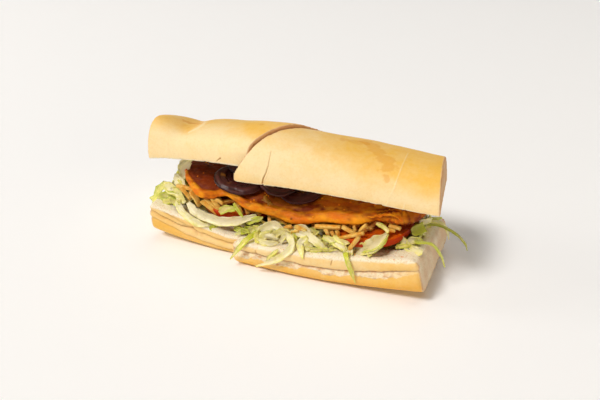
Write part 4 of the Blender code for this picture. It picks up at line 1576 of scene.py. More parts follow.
@dataclass
class OnionRing:
    """Limp cooked rings of one slice, nested in each other and draped over the fillet.

    Attributes:
        name: Name of the piece.
        centre: Place of its middle.
        radius: Outer radius of the widest ring.
        level: How far it stands above the fillet.
        bands: Share of the outer radius, width, height and drop of each nested ring.
    """

    name: str
    centre: tuple[float, float]
    radius: float
    level: float
    bands: Sequence[tuple[float, float, float, float]] = (
        (1.0, 9.0, 4.4, 0.0), (0.6, 5.4, 3.2, 0.6))
    section_steps: int = 28
    round_steps: int = 150

    def ring(self, share: float, width: float, tall: float, drop: float, fillet: Fillet) -> Shape:
        """Spin one flattened section into a ring, drape it and ridge its layers.

        Args:
            share: Share of the outer radius.
            width: Width of the ring's band.
            tall: Height of the band.
            drop: How far it lies below the widest ring.
            fillet: What it lies over.

        Returns:
            The ring.
        """
        radius = self.radius * share
        shape = bmesh.new()
        made = bmesh.ops.create_circle(shape, cap_ends=False, segments=self.section_steps,
                                       radius=width / 2)
        turn = Matrix.Translation((radius - width / 2, 0.0, 0.0)) @ Matrix.Rotation(math.pi / 2, 4, 'X')
        bmesh.ops.transform(shape, matrix=turn, verts=made["verts"])
        bmesh.ops.spin(shape, geom=shape.verts[:] + shape.edges[:], cent=(0, 0, 0), axis=(0, 0, 1),
                       angle=2.0 * math.pi, steps=self.round_steps, use_merge=True)
        bmesh.ops.remove_doubles(shape, verts=shape.verts, dist=0.001)
        layer = shape.verts.layers.float_vector.new("layer")
        thin = shape.verts.layers.float.new("thin")
        x0, y0 = self.centre
        seed = radius * 1.7 + share
        for vert in shape.verts:
            angle = math.atan2(vert.co.y, vert.co.x)
            out = math.hypot(vert.co.x, vert.co.y) - (radius - width / 2)
            lean = math.atan2(vert.co.z, out)
            around = Vector((math.cos(angle) * 2.2, math.sin(angle) * 2.2, seed))
            layers = 0.34 * math.sin(6.0 * lean + 1.6 * noise.noise(around)) * (math.sin(lean) > -0.2)
            folds = 0.75 * noise.noise(around * 1.6 + Vector((0.0, 0.0, lean * 0.5)))
            small = 0.22 * noise.noise(around * 6.0 + Vector((lean, 0.0, 0.0)))
            girth = math.hypot(out, vert.co.z)
            scale = (girth + layers + folds + small) / girth
            swell = 1.0 + 0.05 * math.sin(3.0 * angle + self.radius * 1.7) + 0.03 * noise.noise(around)
            reach = (radius - width / 2 + out * scale) * swell
            x, y = x0 + reach * math.cos(angle), y0 + reach * math.sin(angle)
            rest = [x0 + radius * 0.8 * math.cos(angle), y0 + radius * 0.8 * math.sin(angle)]
            base = max(fillet.seat(*rest), fillet.seat(x, y)) + fillet.thickness + 0.5
            tilt = -0.16 * out * share
            flat = vert.co.z * scale * tall / width
            vert[layer] = Vector((angle * radius * 0.10, lean * width / 2, seed)) * MM
            spots = noise.noise(around * 1.3 + Vector((3.0, lean * 0.6, 0.0)))
            vert[thin] = smooth(0.0, 0.85, (spots - 0.28) / 0.3) * (out < 0.0)
            vert.co = Vector((x, y, base + self.level + tall / 2 + flat + tilt - drop))
        bmesh.ops.recalc_face_normals(shape, faces=shape.faces)
        return shape

    def dress(self, fillet: Fillet) -> Shape:
        """All the rings of the slice in one body.

        Args:
            fillet: What the rings lie over.

        Returns:
            The rings in the roll's frame.
        """
        shape = self.ring(*self.bands[0], fillet)
        for band in self.bands[1:]:
            absorb(shape, self.ring(*band, fillet))
        return shape


@dataclass
class TomatoSlice:
    """A round slice, leaning with the roll, with its skin as the rim."""

    name: str
    centre: Point
    radius: float
    slope: tuple[float, float]
    thickness: float = 5.6
    pockets: int = 6
    rim_steps: int = 72

    def dress(self) -> Shape:
        """Bevel a disc and sink seed pockets into both faces.

        Returns:
            The finished slice.
        """
        shape = bmesh.new()
        bmesh.ops.create_cone(shape, cap_ends=True, segments=self.rim_steps, radius1=self.radius,
                              radius2=self.radius, depth=self.thickness)
        rim = [edge for edge in shape.edges
               if abs(edge.verts[0].co.z - edge.verts[1].co.z) < 0.1]
        bmesh.ops.bevel(shape, geom=rim, offset=1.3, offset_type='OFFSET', segments=3, profile=0.5,
                        affect='EDGES', material=-1)
        shape = fine_skin(shape, 0.9, 2)
        skin = shape.verts.layers.float.new("skin")
        pocket = shape.verts.layers.float.new("pocket")
        for vert in shape.verts:
            reach = math.hypot(vert.co.x, vert.co.y) / self.radius
            angle = math.atan2(vert.co.y, vert.co.x)
            spoke = 0.5 + 0.5 * math.cos(self.pockets * angle)
            well = rising((spoke - 0.35) / 0.3) * hump(reach, 0.62, 0.2)
            vert[pocket] = well
            vert[skin] = rising((reach - 0.95) / 0.04)
            seeds = max(0.0, grain(vert.co, 2.2, 5.0)) * well
            depth = 0.9 * well - 0.8 * seeds + 0.25 * grain(vert.co, 4.0)
            if abs(vert.co.z) > self.thickness / 2 - 1.2:
                vert.co.z -= math.copysign(depth, vert.co.z)
            lobes = 1.0 + 0.02 * math.sin(5.0 * angle) + 0.004 * grain(vert.co, 3.0)
            vert.co.x *= lobes
            vert.co.y *= lobes
            vert.co.z += self.slope[0] * vert.co.x + self.slope[1] * vert.co.y
            vert.co += Vector(self.centre)
        return shape

    def middle(self, x: float, y: float) -> float:
        """Height of the slice's middle plane at a spot."""
        return (self.centre[2] + self.slope[0] * (x - self.centre[0])
                + self.slope[1] * (y - self.centre[1]))


TOMATOES = (TomatoSlice("tomato_slice_1", (-46.0, 0.0, 27.5), 28.5, (-0.09, -0.06)),
            TomatoSlice("tomato_slice_2", (65.0, -10.0, 33.2), 27.5, (0.17, -0.05)))
FILLET = Fillet()


def tomato_middle(x: float, y: float) -> Optional[float]:
    """Look for a tomato slice near a spot.

    Args:
        x: Place along the roll.
        y: Place across it.

    Returns:
        Height of the slice's middle plane there, or None.
    """
    for piece in TOMATOES:
        if math.hypot(x - piece.centre[0], y - piece.centre[1]) < piece.radius + 7.5:
            return piece.middle(x, y)
    return None


def sticks_floor(x: float, y: float) -> float:
    """Underside of the layer of potato sticks.

    Args:
        x: Place along the roll.
        y: Place across it.

    Returns:
        Its height, over the tomato slices where there are any.
    """
    floor = FILLET.under(x, y) - 4.6 - 3.4 * rising((x - 45.0) / 30.0)
    middle = tomato_middle(x, y)
    return floor if middle is None else max(floor, middle + 3.5)


def lettuce_top(x: float, y: float) -> float:
    """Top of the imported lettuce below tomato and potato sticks.

    Args:
        x: Place along the roll.
        y: Place across it.

    Returns:
        Its height, which rises again beyond the fillet's left end.
    """
    top = sticks_floor(x, y) - 0.4
    middle = tomato_middle(x, y)
    if middle is not None:
        top = min(top, middle - 3.5)
    top -= smooth(3.2, 0.0, (y + 30.0) / 12.0) * falling((abs(x) - 82.0) / 6.0)
    top = max(top, ROLL.crumb_over(x, y) + 2.0)
    if x < -86.0:
        top = smooth(top, 45.0, (-x - 86.0) / 8.0)
    if x < -98.0:
        top = smooth(45.0, 36.0, (-x - 98.0) / 8.0)
    return top


@dataclass
class HeapCore:
    """A slab between two height rules, rounded off at its rim."""

    span: tuple[float, float]
    front: Callable[[float], float]
    back: Callable[[float], float]
    lower: Callable[[float, float], float]
    upper: Callable[[float, float], float]

    def ring(self, x: float, v: float) -> Vector:
        """Point of the slab's section.

        Args:
            x: Place along the roll.
            v: Share of the way round.

        Returns:
            The point.
        """
        near, far = self.front(x), self.back(x)
        bottom = v < 0.5
        share = v * 2.0 if bottom else 2.0 - v * 2.0
        y = near + (far - near) * share
        low = self.lower(x, y)
        if bottom:
            return Vector((x, y, low))
        edge = min(share, 1.0 - share) * 8.0
        return Vector((x, y, low + max(1.2, (self.upper(x, y) - low) * smooth(0.35, 1.0, edge))))

    def body(self, cell: float = 1.6) -> Shape:
        """The slab with an even mesh of small faces."""
        start, end = self.span
        return fine_skin(closed_tube(round((end - start) / 2.0), 70,
                                     lambda u, v: self.ring(start + (end - start) * u, v)), cell, 2)


@dataclass
class Shred:
    """One shred of leaf: a thin curled ribbon along a curve.

    Attributes:
        path: Points from root to tip.
        width: Width at its middle.
        turn: Turn about its own line from facing forward, in radians.
        green: How green it is, 0 at the rib and 1 at the frill.
        cup: Depth of its hollow across.
        ruffle: Height of the waves along its edges.
        twist: Further turn from root to tip, in radians.
        tip: Width of its tip as a share of the full width.
        facing: Direction its broad side looks in before the turn.
        thick: Thickness of the leaf.
        deep: Share of the painted shade of the inside of the heap.
    """

    path: Line
    width: float
    turn: float
    green: float = 0.3
    cup: float = 0.7
    ruffle: float = 0.8
    twist: float = 0.0
    tip: float = 0.4
    facing: Point = (0.25, -0.8, 0.55)
    thick: float = 0.4
    deep: float = 0.0

    def frames(self, steps: int) -> list[tuple[Vector, Vector, Vector]]:
        """Walk along the curve, turning the ribbon with it.

        Args:
            steps: Number of steps.

        Returns:
            Place, width direction and face direction at each step.
        """
        line = curve_points(self.path, steps + 1)
        result = []
        for i, point in enumerate(line):
            ahead = (line[min(i + 1, steps)] - line[max(i - 1, 0)]).normalized()
            side = ahead.cross(Vector(self.facing))
            if result and side.dot(result[-1][1]) < 0.0:
                side.negate()
            side = Vector((1.0, 0.0, 0.0)) if side.length < 0.05 else side.normalized()
            if result:
                side = (side + result[-1][1] * 1.5).normalized()
            result.append((point, side, side.cross(ahead)))
        for i, (point, side, _) in enumerate(result):
            ahead = (line[min(i + 1, steps)] - line[max(i - 1, 0)]).normalized()
            side = side.copy()
            side.rotate(Matrix.Rotation(self.turn + self.twist * i / steps, 3, ahead))
            result[i] = (point, side, side.cross(ahead))
        return result

    def dress(self, seed: float) -> Shape:
        """Lay the ribbon along its curve and give it thickness.

        Args:
            seed: Where its ruffles and tints start in the noise.

        Returns:
            The finished shred.
        """
        length = sum((Vector(b) - Vector(a)).length for a, b in zip(self.path, self.path[1:]))
        steps = max(10, round(length / 1.15))
        across_steps = 4 if self.width < 3.5 else 6 if self.width < 6.5 else 8
        frames = self.frames(steps)

        def place(u: float, v: float) -> Vector:
            """Set one point of the leaf.

            Args:
                u: Share of the way along.
                v: Share of the way across.

            Returns:
                The point.
            """
            point, side, face = frames[min(steps, round(u * steps))]
            taper = smooth(0.55, 1.0, u * 5.0) * smooth(self.tip, 1.0, (1.0 - u) * 3.5)
            k = 2.0 * v - 1.0
            ragged = 1.0 + 0.3 * noise.noise(Vector((u * length / 4.5, k * 2.0, seed)))
            hollow = self.cup * (k * k - 0.4)
            wave = self.ruffle * (0.25 * noise.noise(Vector((u * length / 6.0, seed * 3.1, 0.0)))
                                  + 1.3 * abs(k) ** 1.5 * noise.noise(
                                      Vector((u * length / 2.8, seed * 3.1, 9.0 * k))))
            return point + side * (k * self.width / 2 * taper * ragged) + face * (hollow + wave) * taper

        shape = laid_grid(steps, across_steps, place)
        bmesh.ops.solidify(shape, geom=shape.faces[:], thickness=self.thick)
        bmesh.ops.recalc_face_normals(shape, faces=shape.faces)
        share = shape.verts.layers.float_vector["share"]
        green = shape.verts.layers.float.new("green")
        depth = shape.verts.layers.float.new("depth")
        vein = shape.verts.layers.float_vector.new("vein")
        for vert in shape.verts:
            u, v = vert[share][0], vert[share][1]
            k = 2.0 * v - 1.0
            drift = noise.noise(Vector((u * length / 9.0, seed, 4.0)))
            vert[green] = self.green + 0.45 * abs(k) ** 3 * min(1.0, 0.4 + self.green) + 0.35 * drift
            vert[depth] = self.deep
            vert[vein] = Vector((u * length * 0.3, v * self.width, seed * 5.0)) * MM
        return shape


@dataclass
class Lettuce:
    """The heap of shredded iceberg lettuce on the lower bread."""

    placed: Sequence[Shred] = ()
    loose: int = 7
    packed: int = 130
    loose_seed: int = 11
    packed_seed: int = 23

    def core(self) -> HeapCore:
        """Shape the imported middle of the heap.

        Returns:
            The core, between the crumb and the fillet.
        """
        return HeapCore((-101.0, 98.0),
                        lambda x: smooth(-19.5, -29.5, (x + 50.0) / 24.0),
                        lambda x: smooth(37.5, 28.0, (x + 6.0) / 40.0),
                        lambda x, y: ROLL.crumb_over(x, y) + 0.2,
                        lambda x, y: lettuce_top(x, y) - smooth(0.6, 3.5, (-x - 84.0) / 8.0))

    def front_shreds(self, rng: random.Random) -> list[Shred]:
        """Loose curls along the front of the roll.

        Args:
            rng: Source of the random numbers.

        Returns:
            The curls, from left to right.
        """
        shreds = []
        for i in range(self.loose):
            x = -16.0 + 14.0 * i + rng.uniform(-2.5, 2.5)
            run, out = rng.uniform(-15.0, 15.0), rng.uniform(5.0, 10.0)
            low = ROLL.crumb_over(x + run, -32.0 - out) + rng.uniform(1.4, 2.8)
            root = ROLL.crumb_over(x, -29.0) + 1.9
            top = root + rng.uniform(0.5, 5.5) if tomato_middle(x, -33.0) is None else root
            width, turn = rng.uniform(3.4, 5.6), rng.uniform(-0.5, 0.5)
            shreds.append(Shred(((x, -28.0, root), (x + run * 0.3, -33.0, top),
                                 (x + run * 0.8, -33.0 - out * 0.6, max(low + 1.0, top - 1.0)),
                                 (x + run, -33.0 - out, low)), width + 1.2, turn,
                                rng.uniform(0.02, 0.35), 1.0, 0.7, rng.uniform(-0.5, 0.5), 0.3))
        return shreds

    def packed_shreds(self, core: BVHTree, rng: random.Random) -> list[Shred]:
        """Shreds that curl over the core wherever it can be seen.

        Args:
            core: Search tree of the core.
            rng: Source of the random numbers.

        Returns:
            The shreds.
        """
        shreds = []
        while len(shreds) < self.packed:
            kind = rng.random()
            x, z = rng.uniform(-100.0, 97.0), rng.uniform(18.0, 46.0)
            if kind < 0.36:
                start, ahead = Vector((x, -90.0, z)), Vector((0.0, 1.0, 0.0))
            elif kind < 0.78:
                start, ahead = Vector((x, 90.0, z)), Vector((0.0, -1.0, 0.0))
            elif kind < 0.92:
                start, ahead = Vector((-150.0, rng.uniform(-22.0, 36.0), z)), Vector((1.0, 0.0, 0.0))
            else:
                start, ahead = Vector((150.0, rng.uniform(-26.0, 26.0), z)), Vector((-1.0, 0.0, 0.0))
            spot, normal, _, _ = core.ray_cast(start, ahead)
            if spot is None:
                continue
            normal = Vector((normal.x, normal.y, max(0.0, normal.z * 0.5))).normalized()
            level = normal.cross(UP).normalized()
            bearing = rng.uniform(-0.8, 0.8)
            run = level * math.cos(bearing) + Vector((0.0, 0.0, math.sin(bearing)))
            half, bow = rng.uniform(8.0, 15.0), rng.uniform(0.6, 2.8)
            wiggle = Vector((0.0, 0.0, rng.uniform(-2.0, 2.5)))
            path = [spot - run * half + normal * 0.2, spot - run * half * 0.4 + normal * bow,
                    spot + run * half * 0.4 + normal * bow * rng.uniform(0.4, 1.2) + wiggle,
                    spot + run * half + normal * rng.uniform(0.2, 2.4)]
            for point in path:
                low = ROLL.crumb_over(point.x, point.y) + 1.3
                high = 46.0
                if -80.0 < point.x < 90.0:
                    high = FILLET.under(point.x, max(point.y, -24.0)) - 1.5
                point.z = min(max(point.z, low), max(high, low))
            shreds.append(Shred([tuple(point) for point in path], rng.uniform(3.4, 6.6),
                                rng.uniform(-0.6, 0.6), rng.uniform(0.0, 0.5),
                                rng.uniform(0.5, 1.3), 0.7, rng.uniform(-0.8, 0.8), 0.35,
                                tuple(normal + Vector((0.1, -0.1, 0.5)))))
        return shreds

    def dress(self) -> Shape:
        """Build the heap.

        Returns:
            Core, placed shreds, loose curls and packed shreds in one body.
        """
        shape = self.core().body()
        tree = tree_of(shape)
        green = shape.verts.layers.float.new("green")
        depth = shape.verts.layers.float.new("depth")
        shape.verts.layers.float_vector.new("vein")
        shape.verts.layers.float_vector.new("share")
        shape.normal_update()
        for vert in shape.verts:
            vert[green] = 0.35
            # Painted shade: the core is mostly dark, for the shade between the shreds.
            vert[depth] = 0.75
            vert.co += vert.normal * (0.9 * crags(Vector((vert.co.x, vert.co.y * 2.0, vert.co.z * 2.0)),
                                                  5.0, 3, 1.0) - 0.7)
        shreds = [*self.placed, *self.front_shreds(random.Random(self.loose_seed)),
                  *self.packed_shreds(tree, random.Random(self.packed_seed))]
        for index, shred in enumerate(shreds):
            absorb(shape, shred.dress(index * 1.37))
        return shape


@dataclass
class PotatoSticks:
    """The layer of fried potato sticks under the fish.

    Attributes:
        shown: The sticks that can be picked out: two ends, width and browning.
        side: Width of the other sticks.
        slim: Share of its width that a shown stick keeps.
        front: How many lie between them along the front.
        inner: How many lie further in and at the back.
        seed: Start of the random numbers.
    """

    shown: Sequence[tuple[Point, Point, float, float]] = ()
    side: float = 2.6
    slim: float = 0.82
    front: int = 22
    inner: int = 40
    seed: int = 5

    def stick(self, start: Point, end: Point, wide: float, brown: float,
              rng: random.Random) -> Shape:
        """A slightly bent square bar with worn edges and a browner skin at its ends.

        Args:
            start: Middle of one end.
            end: Middle of the other.
            wide: Width of its upper face.
            brown: How browned it is, 0 to 1.
            rng: Source of the random numbers.

        Returns:
            The stick.
        """
        a, b = Vector(start), Vector(end)
        length = (b - a).length
        ahead = (b - a).normalized()
        side = ahead.cross(UP).normalized()
        face = side.cross(ahead)
        shape = bmesh.new()
        bmesh.ops.create_cube(shape, size=1.0)
        long_edges = [edge for edge in shape.edges
                      if abs(edge.verts[0].co.x - edge.verts[1].co.x) > 0.5]
        bmesh.ops.bevel(shape, geom=long_edges, offset=0.08, offset_type='OFFSET', segments=2,
                        profile=0.5, affect='EDGES', material=-1)
        for share in (-0.46, -0.3, -0.15, 0.0, 0.15, 0.3, 0.46):
            bmesh.ops.bisect_plane(shape, geom=shape.verts[:] + shape.edges[:] + shape.faces[:],
                                   plane_co=(share, 0, 0), plane_no=(1, 0, 0), dist=1e-5)
        tip = shape.verts.layers.float.new("tip")
        bend, turn, slant = rng.uniform(-0.9, 0.9), rng.uniform(-0.5, 0.5), rng.uniform(-0.5, 0.5)
        thick = self.side * rng.uniform(0.72, 1.0)
        seed = rng.uniform(0.0, 50.0)
        for vert in shape.verts:
            u, v, w = vert.co
            wear = 1.0 - 0.12 * rising((abs(u) - 0.44) / 0.06)
            wobble = 1.0 + 0.14 * noise.noise(Vector((u * 4.0, v, seed)))
            sy, sz = v * wide * wear * wobble, w * thick * wear * wobble
            sy, sz = sy * math.cos(turn) - sz * math.sin(turn), sy * math.sin(turn) + sz * math.cos(turn)
            edge = 0.08 if abs(v) + abs(w) > 0.85 else 0.0
            vert[tip] = min(1.0, 0.35 * brown + edge + 0.15 * rising((abs(u) - 0.42) / 0.08))
            bow = (0.25 - u * u) * (0.9 + bend)
            vert.co = (a + b) / 2 + ahead * (u * length + slant * v * (abs(u) > 0.45)) \
                + side * sy + face * (sz + bow)
        return shape

    def dress(self) -> Shape:
        """Build the layer.

        Returns:
            Its core, the sticks that show and the ones between them in one body.
        """
        core = HeapCore((-66.0, 80.0), lambda x: smooth(-18.0, -11.0, (x - 40.0) / 25.0),
                        lambda x: 26.0, sticks_floor, lambda x, y: FILLET.under(x, y) - 1.0)
        shape = core.body()
        tip = shape.verts.layers.float.new("tip")
        shape.normal_update()
        for vert in shape.verts:
            # Painted shade: the core takes the full tip brown, for the shade in the gaps between the
            # sticks.
            vert[tip] = 1.0
            vert.co -= vert.normal * 0.5
        rng = random.Random(self.seed)
        for start, end, wide, brown in self.shown:
            absorb(shape, self.stick(start, end, wide * self.slim, brown, rng))
        for i in range(self.front):
            place_x = -76.0 + 6.8 * i + rng.uniform(-1.5, 1.5)
            bearing = rng.choice((-1, 1)) * rng.uniform(0.3, 1.3)
            length, droop = rng.uniform(17.0, 27.0), rng.uniform(0.0, 2.5)
            place_y = -17.0 + rng.uniform(-1.5, 1.5)
            ends = []
            for k in (-0.5, 0.5):
                x = place_x + length * k * math.sin(bearing)
                y = place_y - length * 0.7 * k * math.cos(bearing)
                under = FILLET.under(x, max(y, -24.0)) - self.side / 2 - 0.9
                ends.append((x, y, under - (droop if k > 0 else 0.0)))
            absorb(shape, self.stick(*ends, self.side, rng.uniform(0.15, 0.6), rng))
        for i in range(self.inner):
            x, back = rng.uniform(-64.0, 78.0), i % 2
            y = 25.0 if back else -14.0
            bearing = rng.uniform(-1.2, 1.2)
            length = rng.uniform(12.0, 20.0)
            ends = []
            for k in (-0.5, 0.5):
                px, py = x + length * k * math.sin(bearing), y + length * k * math.cos(bearing)
                low, high = sticks_floor(px, py) + 1.5, FILLET.under(px, min(28.0, py)) - 2.6
                ends.append((px, py, (low + high) / 2))
            absorb(shape, self.stick(*ends, self.side, rng.uniform(0.2, 0.6), rng))
        return shape


@dataclass
class Scatter:
    """Small loose bits, joined into one piece: crumbs of batter or flakes of onion.

    Attributes:
        spots: Place, surface normal and size of each.
        flat: Height as a share of the width.
        rough: Height of the lumps as a share of the size.
        detail: Rounds of division of each bit.
        thin: How see-through each is, 0 to 1; none are if it is empty.
    """

    spots: Sequence[tuple[Vector, Vector, float]]
    flat: float = 0.6
    rough: float = 0.3
    detail: int = 2
    thin: Sequence[float] = ()

    def dress(self) -> Shape:
        """Set a lumpy little body on every spot, pressed a little into what carries it.

        Returns:
            All the bits in one body.
        """
        shape = bmesh.new()
        shape.verts.layers.float.new("thin")
        for index, (place, normal, size) in enumerate(self.spots):
            bit = bmesh.new()
            bmesh.ops.create_icosphere(bit, subdivisions=self.detail, radius=size / 2)
            thin = bit.verts.layers.float.new("thin")
            turn = normal.to_track_quat('Z', 'Y').to_matrix()
            for vert in bit.verts:
                lump = 1.0 + self.rough * noise.noise(vert.co / (size * 0.45) + Vector((index, 0, 0)))
                vert.co = vert.co * lump
                vert.co.z *= self.flat
                vert[thin] = self.thin[index] if self.thin else 0.0
                vert.co = place + turn @ vert.co + normal * size * self.flat * 0.2
            absorb(shape, bit)
        return shape


# ------------------------------------------------------------------ the studio

@dataclass
class Studio:
    """Camera at the picture's viewing angle, pale floor and soft light, in metres.

    Attributes:
        lens: Focal length in millimetres for a frame of 600 by 400.
        sweep_start: Distance from the middle where the floor starts to rise.
        aim: What the lamps point at.
        lamps: Name, place, size, power and colour of each lamp.
    """

    eye: Point = (0.13931, -0.39727, 0.2868)
    gaze: Point = (-0.2953, 0.8113, -0.5045)
    lens: float = 39.0
    floor_reach: float = 4.0
    floor_cells: int = 80
    floor_drop: float = 0.0002
    sweep_start: float = 2.8
    sweep_rise: float = 1.2
    sweep_top: float = 0.9
    aim: Point = (0.0, 0.0, 0.05)
    lamps: Sequence[tuple[str, Point, float, float, str]] = (
        ("key", (-2.9, -3.9, 6.5), 2.2, 442.0, "FFFCF9"),
        ("top", (0.3, 1.2, 5.0), 4.0, 70.0, "FFFCF6"),
        ("side", (-2.6, -0.52, 0.95), 0.84, 12.5, "FFFBF4"),
        ("fill", (1.6, -0.9, 0.7), 0.9, 3.5, "FFE9CC"))
    sky: str = "FFF6EC"
    sky_strength: float = 0.07

    def place(self, item: bpy.types.Object, spot: Point, ahead: Vector) -> None:
        """Put a camera or a lamp into the scene.

        Args:
            item: The new object.
            spot: Where it stands.
            ahead: Direction that it looks in.
        """
        item.location = spot
        item.rotation_mode = 'QUATERNION'
        item.rotation_quaternion = ahead.to_track_quat('-Z', 'Y')
        bpy.context.scene.collection.objects.link(item)

    def camera(self) -> None:
        """Place the camera."""
        data = bpy.data.cameras.new("view")
        data.lens, data.sensor_width = self.lens, 36.0
        data.clip_start, data.clip_end = 0.01, 50.0
        view = bpy.data.objects.new("view", data)
        self.place(view, self.eye, Vector(self.gaze))
        bpy.context.scene.camera = view

    def floor(self) -> None:
        """Lay a wide pale floor that sweeps up into a low wall all round."""
        shape = bmesh.new()
        bmesh.ops.create_grid(shape, x_segments=self.floor_cells, y_segments=self.floor_cells,
                              size=self.floor_reach)
        for vert in shape.verts:
            beyond = max(0.0, math.hypot(vert.co.x, vert.co.y) - self.sweep_start)
            vert.co.z = min(self.sweep_top, self.sweep_rise * beyond ** 2)
        mesh = bpy.data.meshes.new("floor")
        shape.to_mesh(mesh)
        shape.free()
        mesh.shade_smooth()
        mesh.materials.append(PlainStudio("painted_board").make())
        item = bpy.data.objects.new("floor", mesh)
        item.location.z = -self.floor_drop
        bpy.context.scene.collection.objects.link(item)

    def light(self) -> None:
        """Set square soft lamps that point at the sandwich, and a pale sky all round."""
        for name, spot, size, power, colour in self.lamps:
            data = bpy.data.lights.new(name, 'AREA')
            data.shape, data.size, data.energy = 'SQUARE', size, power
            data.color = linear(colour)[:3]
            item = bpy.data.objects.new(name, data)
            item.visible_camera = False
            self.place(item, spot, Vector(self.aim) - Vector(spot))
        world = bpy.data.worlds.new("sky")
        world.use_nodes = True
        background = world.node_tree.nodes["Background"]
        background.inputs["Color"].default_value = linear(self.sky)
        background.inputs["Strength"].default_value = self.sky_strength
        bpy.context.scene.world = world
        bpy.context.scene.view_settings.view_transform = 'Standard'

    def build(self) -> None:
        """Camera, floor and light."""
        self.camera()
        self.floor()
        self.light()


# ------------------------------------------------------------------ what shows where

RIGHT_LID_CRACK = ((-7.9, -24.3, 88.7), (-7.7, -30.6, 80.8), (-8.6, -32.4, 76.1), (-10.4, -36, 71.3),
                   (-11, -37, 66))
RIGHT_LID_LINES = (((82.5, -9.9, 91.1), (80.6, -30.5, 79.3), (76.7, -33.4, 66.5)),
                   ((89, -33, 70.5), (88.2, -33.4, 66)))
RIGHT_LID_STAINS = ((((53, 5, 92.7), (61.6, -4.3, 93), (68.7, -11.7, 92.5), (73, -18, 90.8),
                      (72.5, -21, 89.6)),
                     6, 0.5),
                    (((36, 2, 93.5), (53, 2, 93)), 3.4, 0.4),
                    (((74.9, -28.3, 84.8), (74, -27.6, 85.8)), 3, 0.5))
LEFT_LID_SCRATCH = ((-80.0, 0.0, 86.0), (-71.0, -4.5, 90.3))
LEFT_LID_SMUDGE = ((-51.8, -24.5, 72.8), (-48.3, -24.5, 76.0))
LEFT_LID_STAINS = ((((-92, 6, 86), (-84, 6, 82), (-76, 4, 88)), 4, 0.7),
                   (((-34, -2, 93), (-20, -4, 95)), 3.4, 0.5))
LOWER_CRACKS = (((-13.7, -45, 17), (-13.2, -45, 13)), ((44.6, -44.6, 24.5), (43.6, -44.8, 18.5)))

ONION_RINGS = (OnionRing("onion_ring_1", (-41.0, -5.0), 20.3, 0.0),
               OnionRing("onion_ring_2", (-40.0, 2.0), 13.0, 5.6),
               OnionRing("onion_ring_3", (7.0, -3.0), 16.4, 0.0),
               OnionRing("onion_ring_4", (-9.5, -3.0), 18.0, 5.6))
FILLET_FLAKES = ((-45, -9.5, 5.5), (-42, -7, 4), (-17, -17.5, 4.2), (-13, -18.5, 3.4), (4, -4.5, 5),
                 (6.5, -2.5, 4))
CRUMB_FLAKES = ((89.0, -24.8, 4.2), (92.0, -24.0, 3.6))
FLAKES_THIN = (1.0,) * 6 + (0.0, 0.1)

HANGING = (
    Shred(((-14.5, -32, 24.5), (-18.8, -36, 24.3), (-21.8, -43, 23.2), (-25.6, -48.2, 18.5), (-33.2,
          -48.2, 6.8)), 3.8, 0.1, 0.62, 0.5, 0.5, 0, 0.25),
    Shred(((2, -36.8, 22.6), (5, -34, 27.4), (10.5, -37.5, 27.6), (13, -43.6, 25), (8.4, -48.2, 19.6),
          (-1.5, -48.8, 12.2), (-13, -48.2, 5.4)), 5, 0.1, 0.06, 0.9, 0.9, -0.3, 0.25),
    Shred(((4, -45.6, 22.4), (-1, -48, 17), (-4.2, -48.2, 12)), 2.4, 0.1, 0.5, 0.4, 0.6, 0, 0.3),
    Shred(((50.7, -36, 28), (54.6, -45.8, 27.6), (57.9, -47.2, 20.6), (62.3, -47, 8.7)), 3.4, 0.1, 0.66,
          0.5, 0.4, 0.1, 0.15),
    # The next two shreds take a share of the painted shade inside the heap.
    Shred(((88, -16, 32), (98, -23, 36), (108, -23, 37), (115, -22, 29), (119, -23, 20)), 2, 0.3, 0.72,
          0.3, 0.3, deep=0.12),
    Shred(((92, 0, 36), (107, 0, 38.5), (115, 0, 37), (123, 0, 33), (129, 0, 27), (131, 0, 22)), 1.7,
          0.2, 0.85, 0.3, 0.3, deep=0.5),
    Shred(((92, 6, 34), (106, 6, 37.5), (114, 5, 34), (117, 4, 26)), 2.4, 0.1, 0.1, 0.4, 0.4),
    Shred(((-78, -25.5, 34), (-70.3, -29.5, 29.8), (-60.6, -30.6, 27.4), (-46.5, -31, 26.3), (-31.7,
          -29.6, 30.6), (-20, -27.4, 35.2)), 6.8, 0.15, 0, 1.3, 0.6, 0.2, 0.5),
    Shred(((-101.5, -17, 42.7), (-106.8, -19, 35.6), (-110, -22, 28.7), (-110.6, -24, 25.2)), 6.6, 0.2,
          0.5, 0.9, 2, 0.3, 0.3),
    Shred(((-102.8, -18, 42.1), (-95.3, -20, 39.7), (-87, -23, 37.1), (-80.4, -26, 33.4)), 7.4, 0, 0.22,
          1, 2, 0.4, 0.4),
    Shred(((-106.8, -23, 31.1), (-97, -22, 34.6), (-87, -22, 36.8)), 6.6, 0.1, 0.55, 0.9, 2, 0.4, 0.4),
    Shred(((-85.4, -4, 57.1), (-89.4, -7, 51.4), (-91.6, -10, 44.5), (-95.1, -14, 40.6)), 7, 0, 0.05,
          0.9, 1.8, 0.5, 0.5),
    Shred(((-97, 6, 42), (-99, 6, 48), (-96, 8, 53)), 7, 0.6, 0, 0.8, 2, 0.6),
)

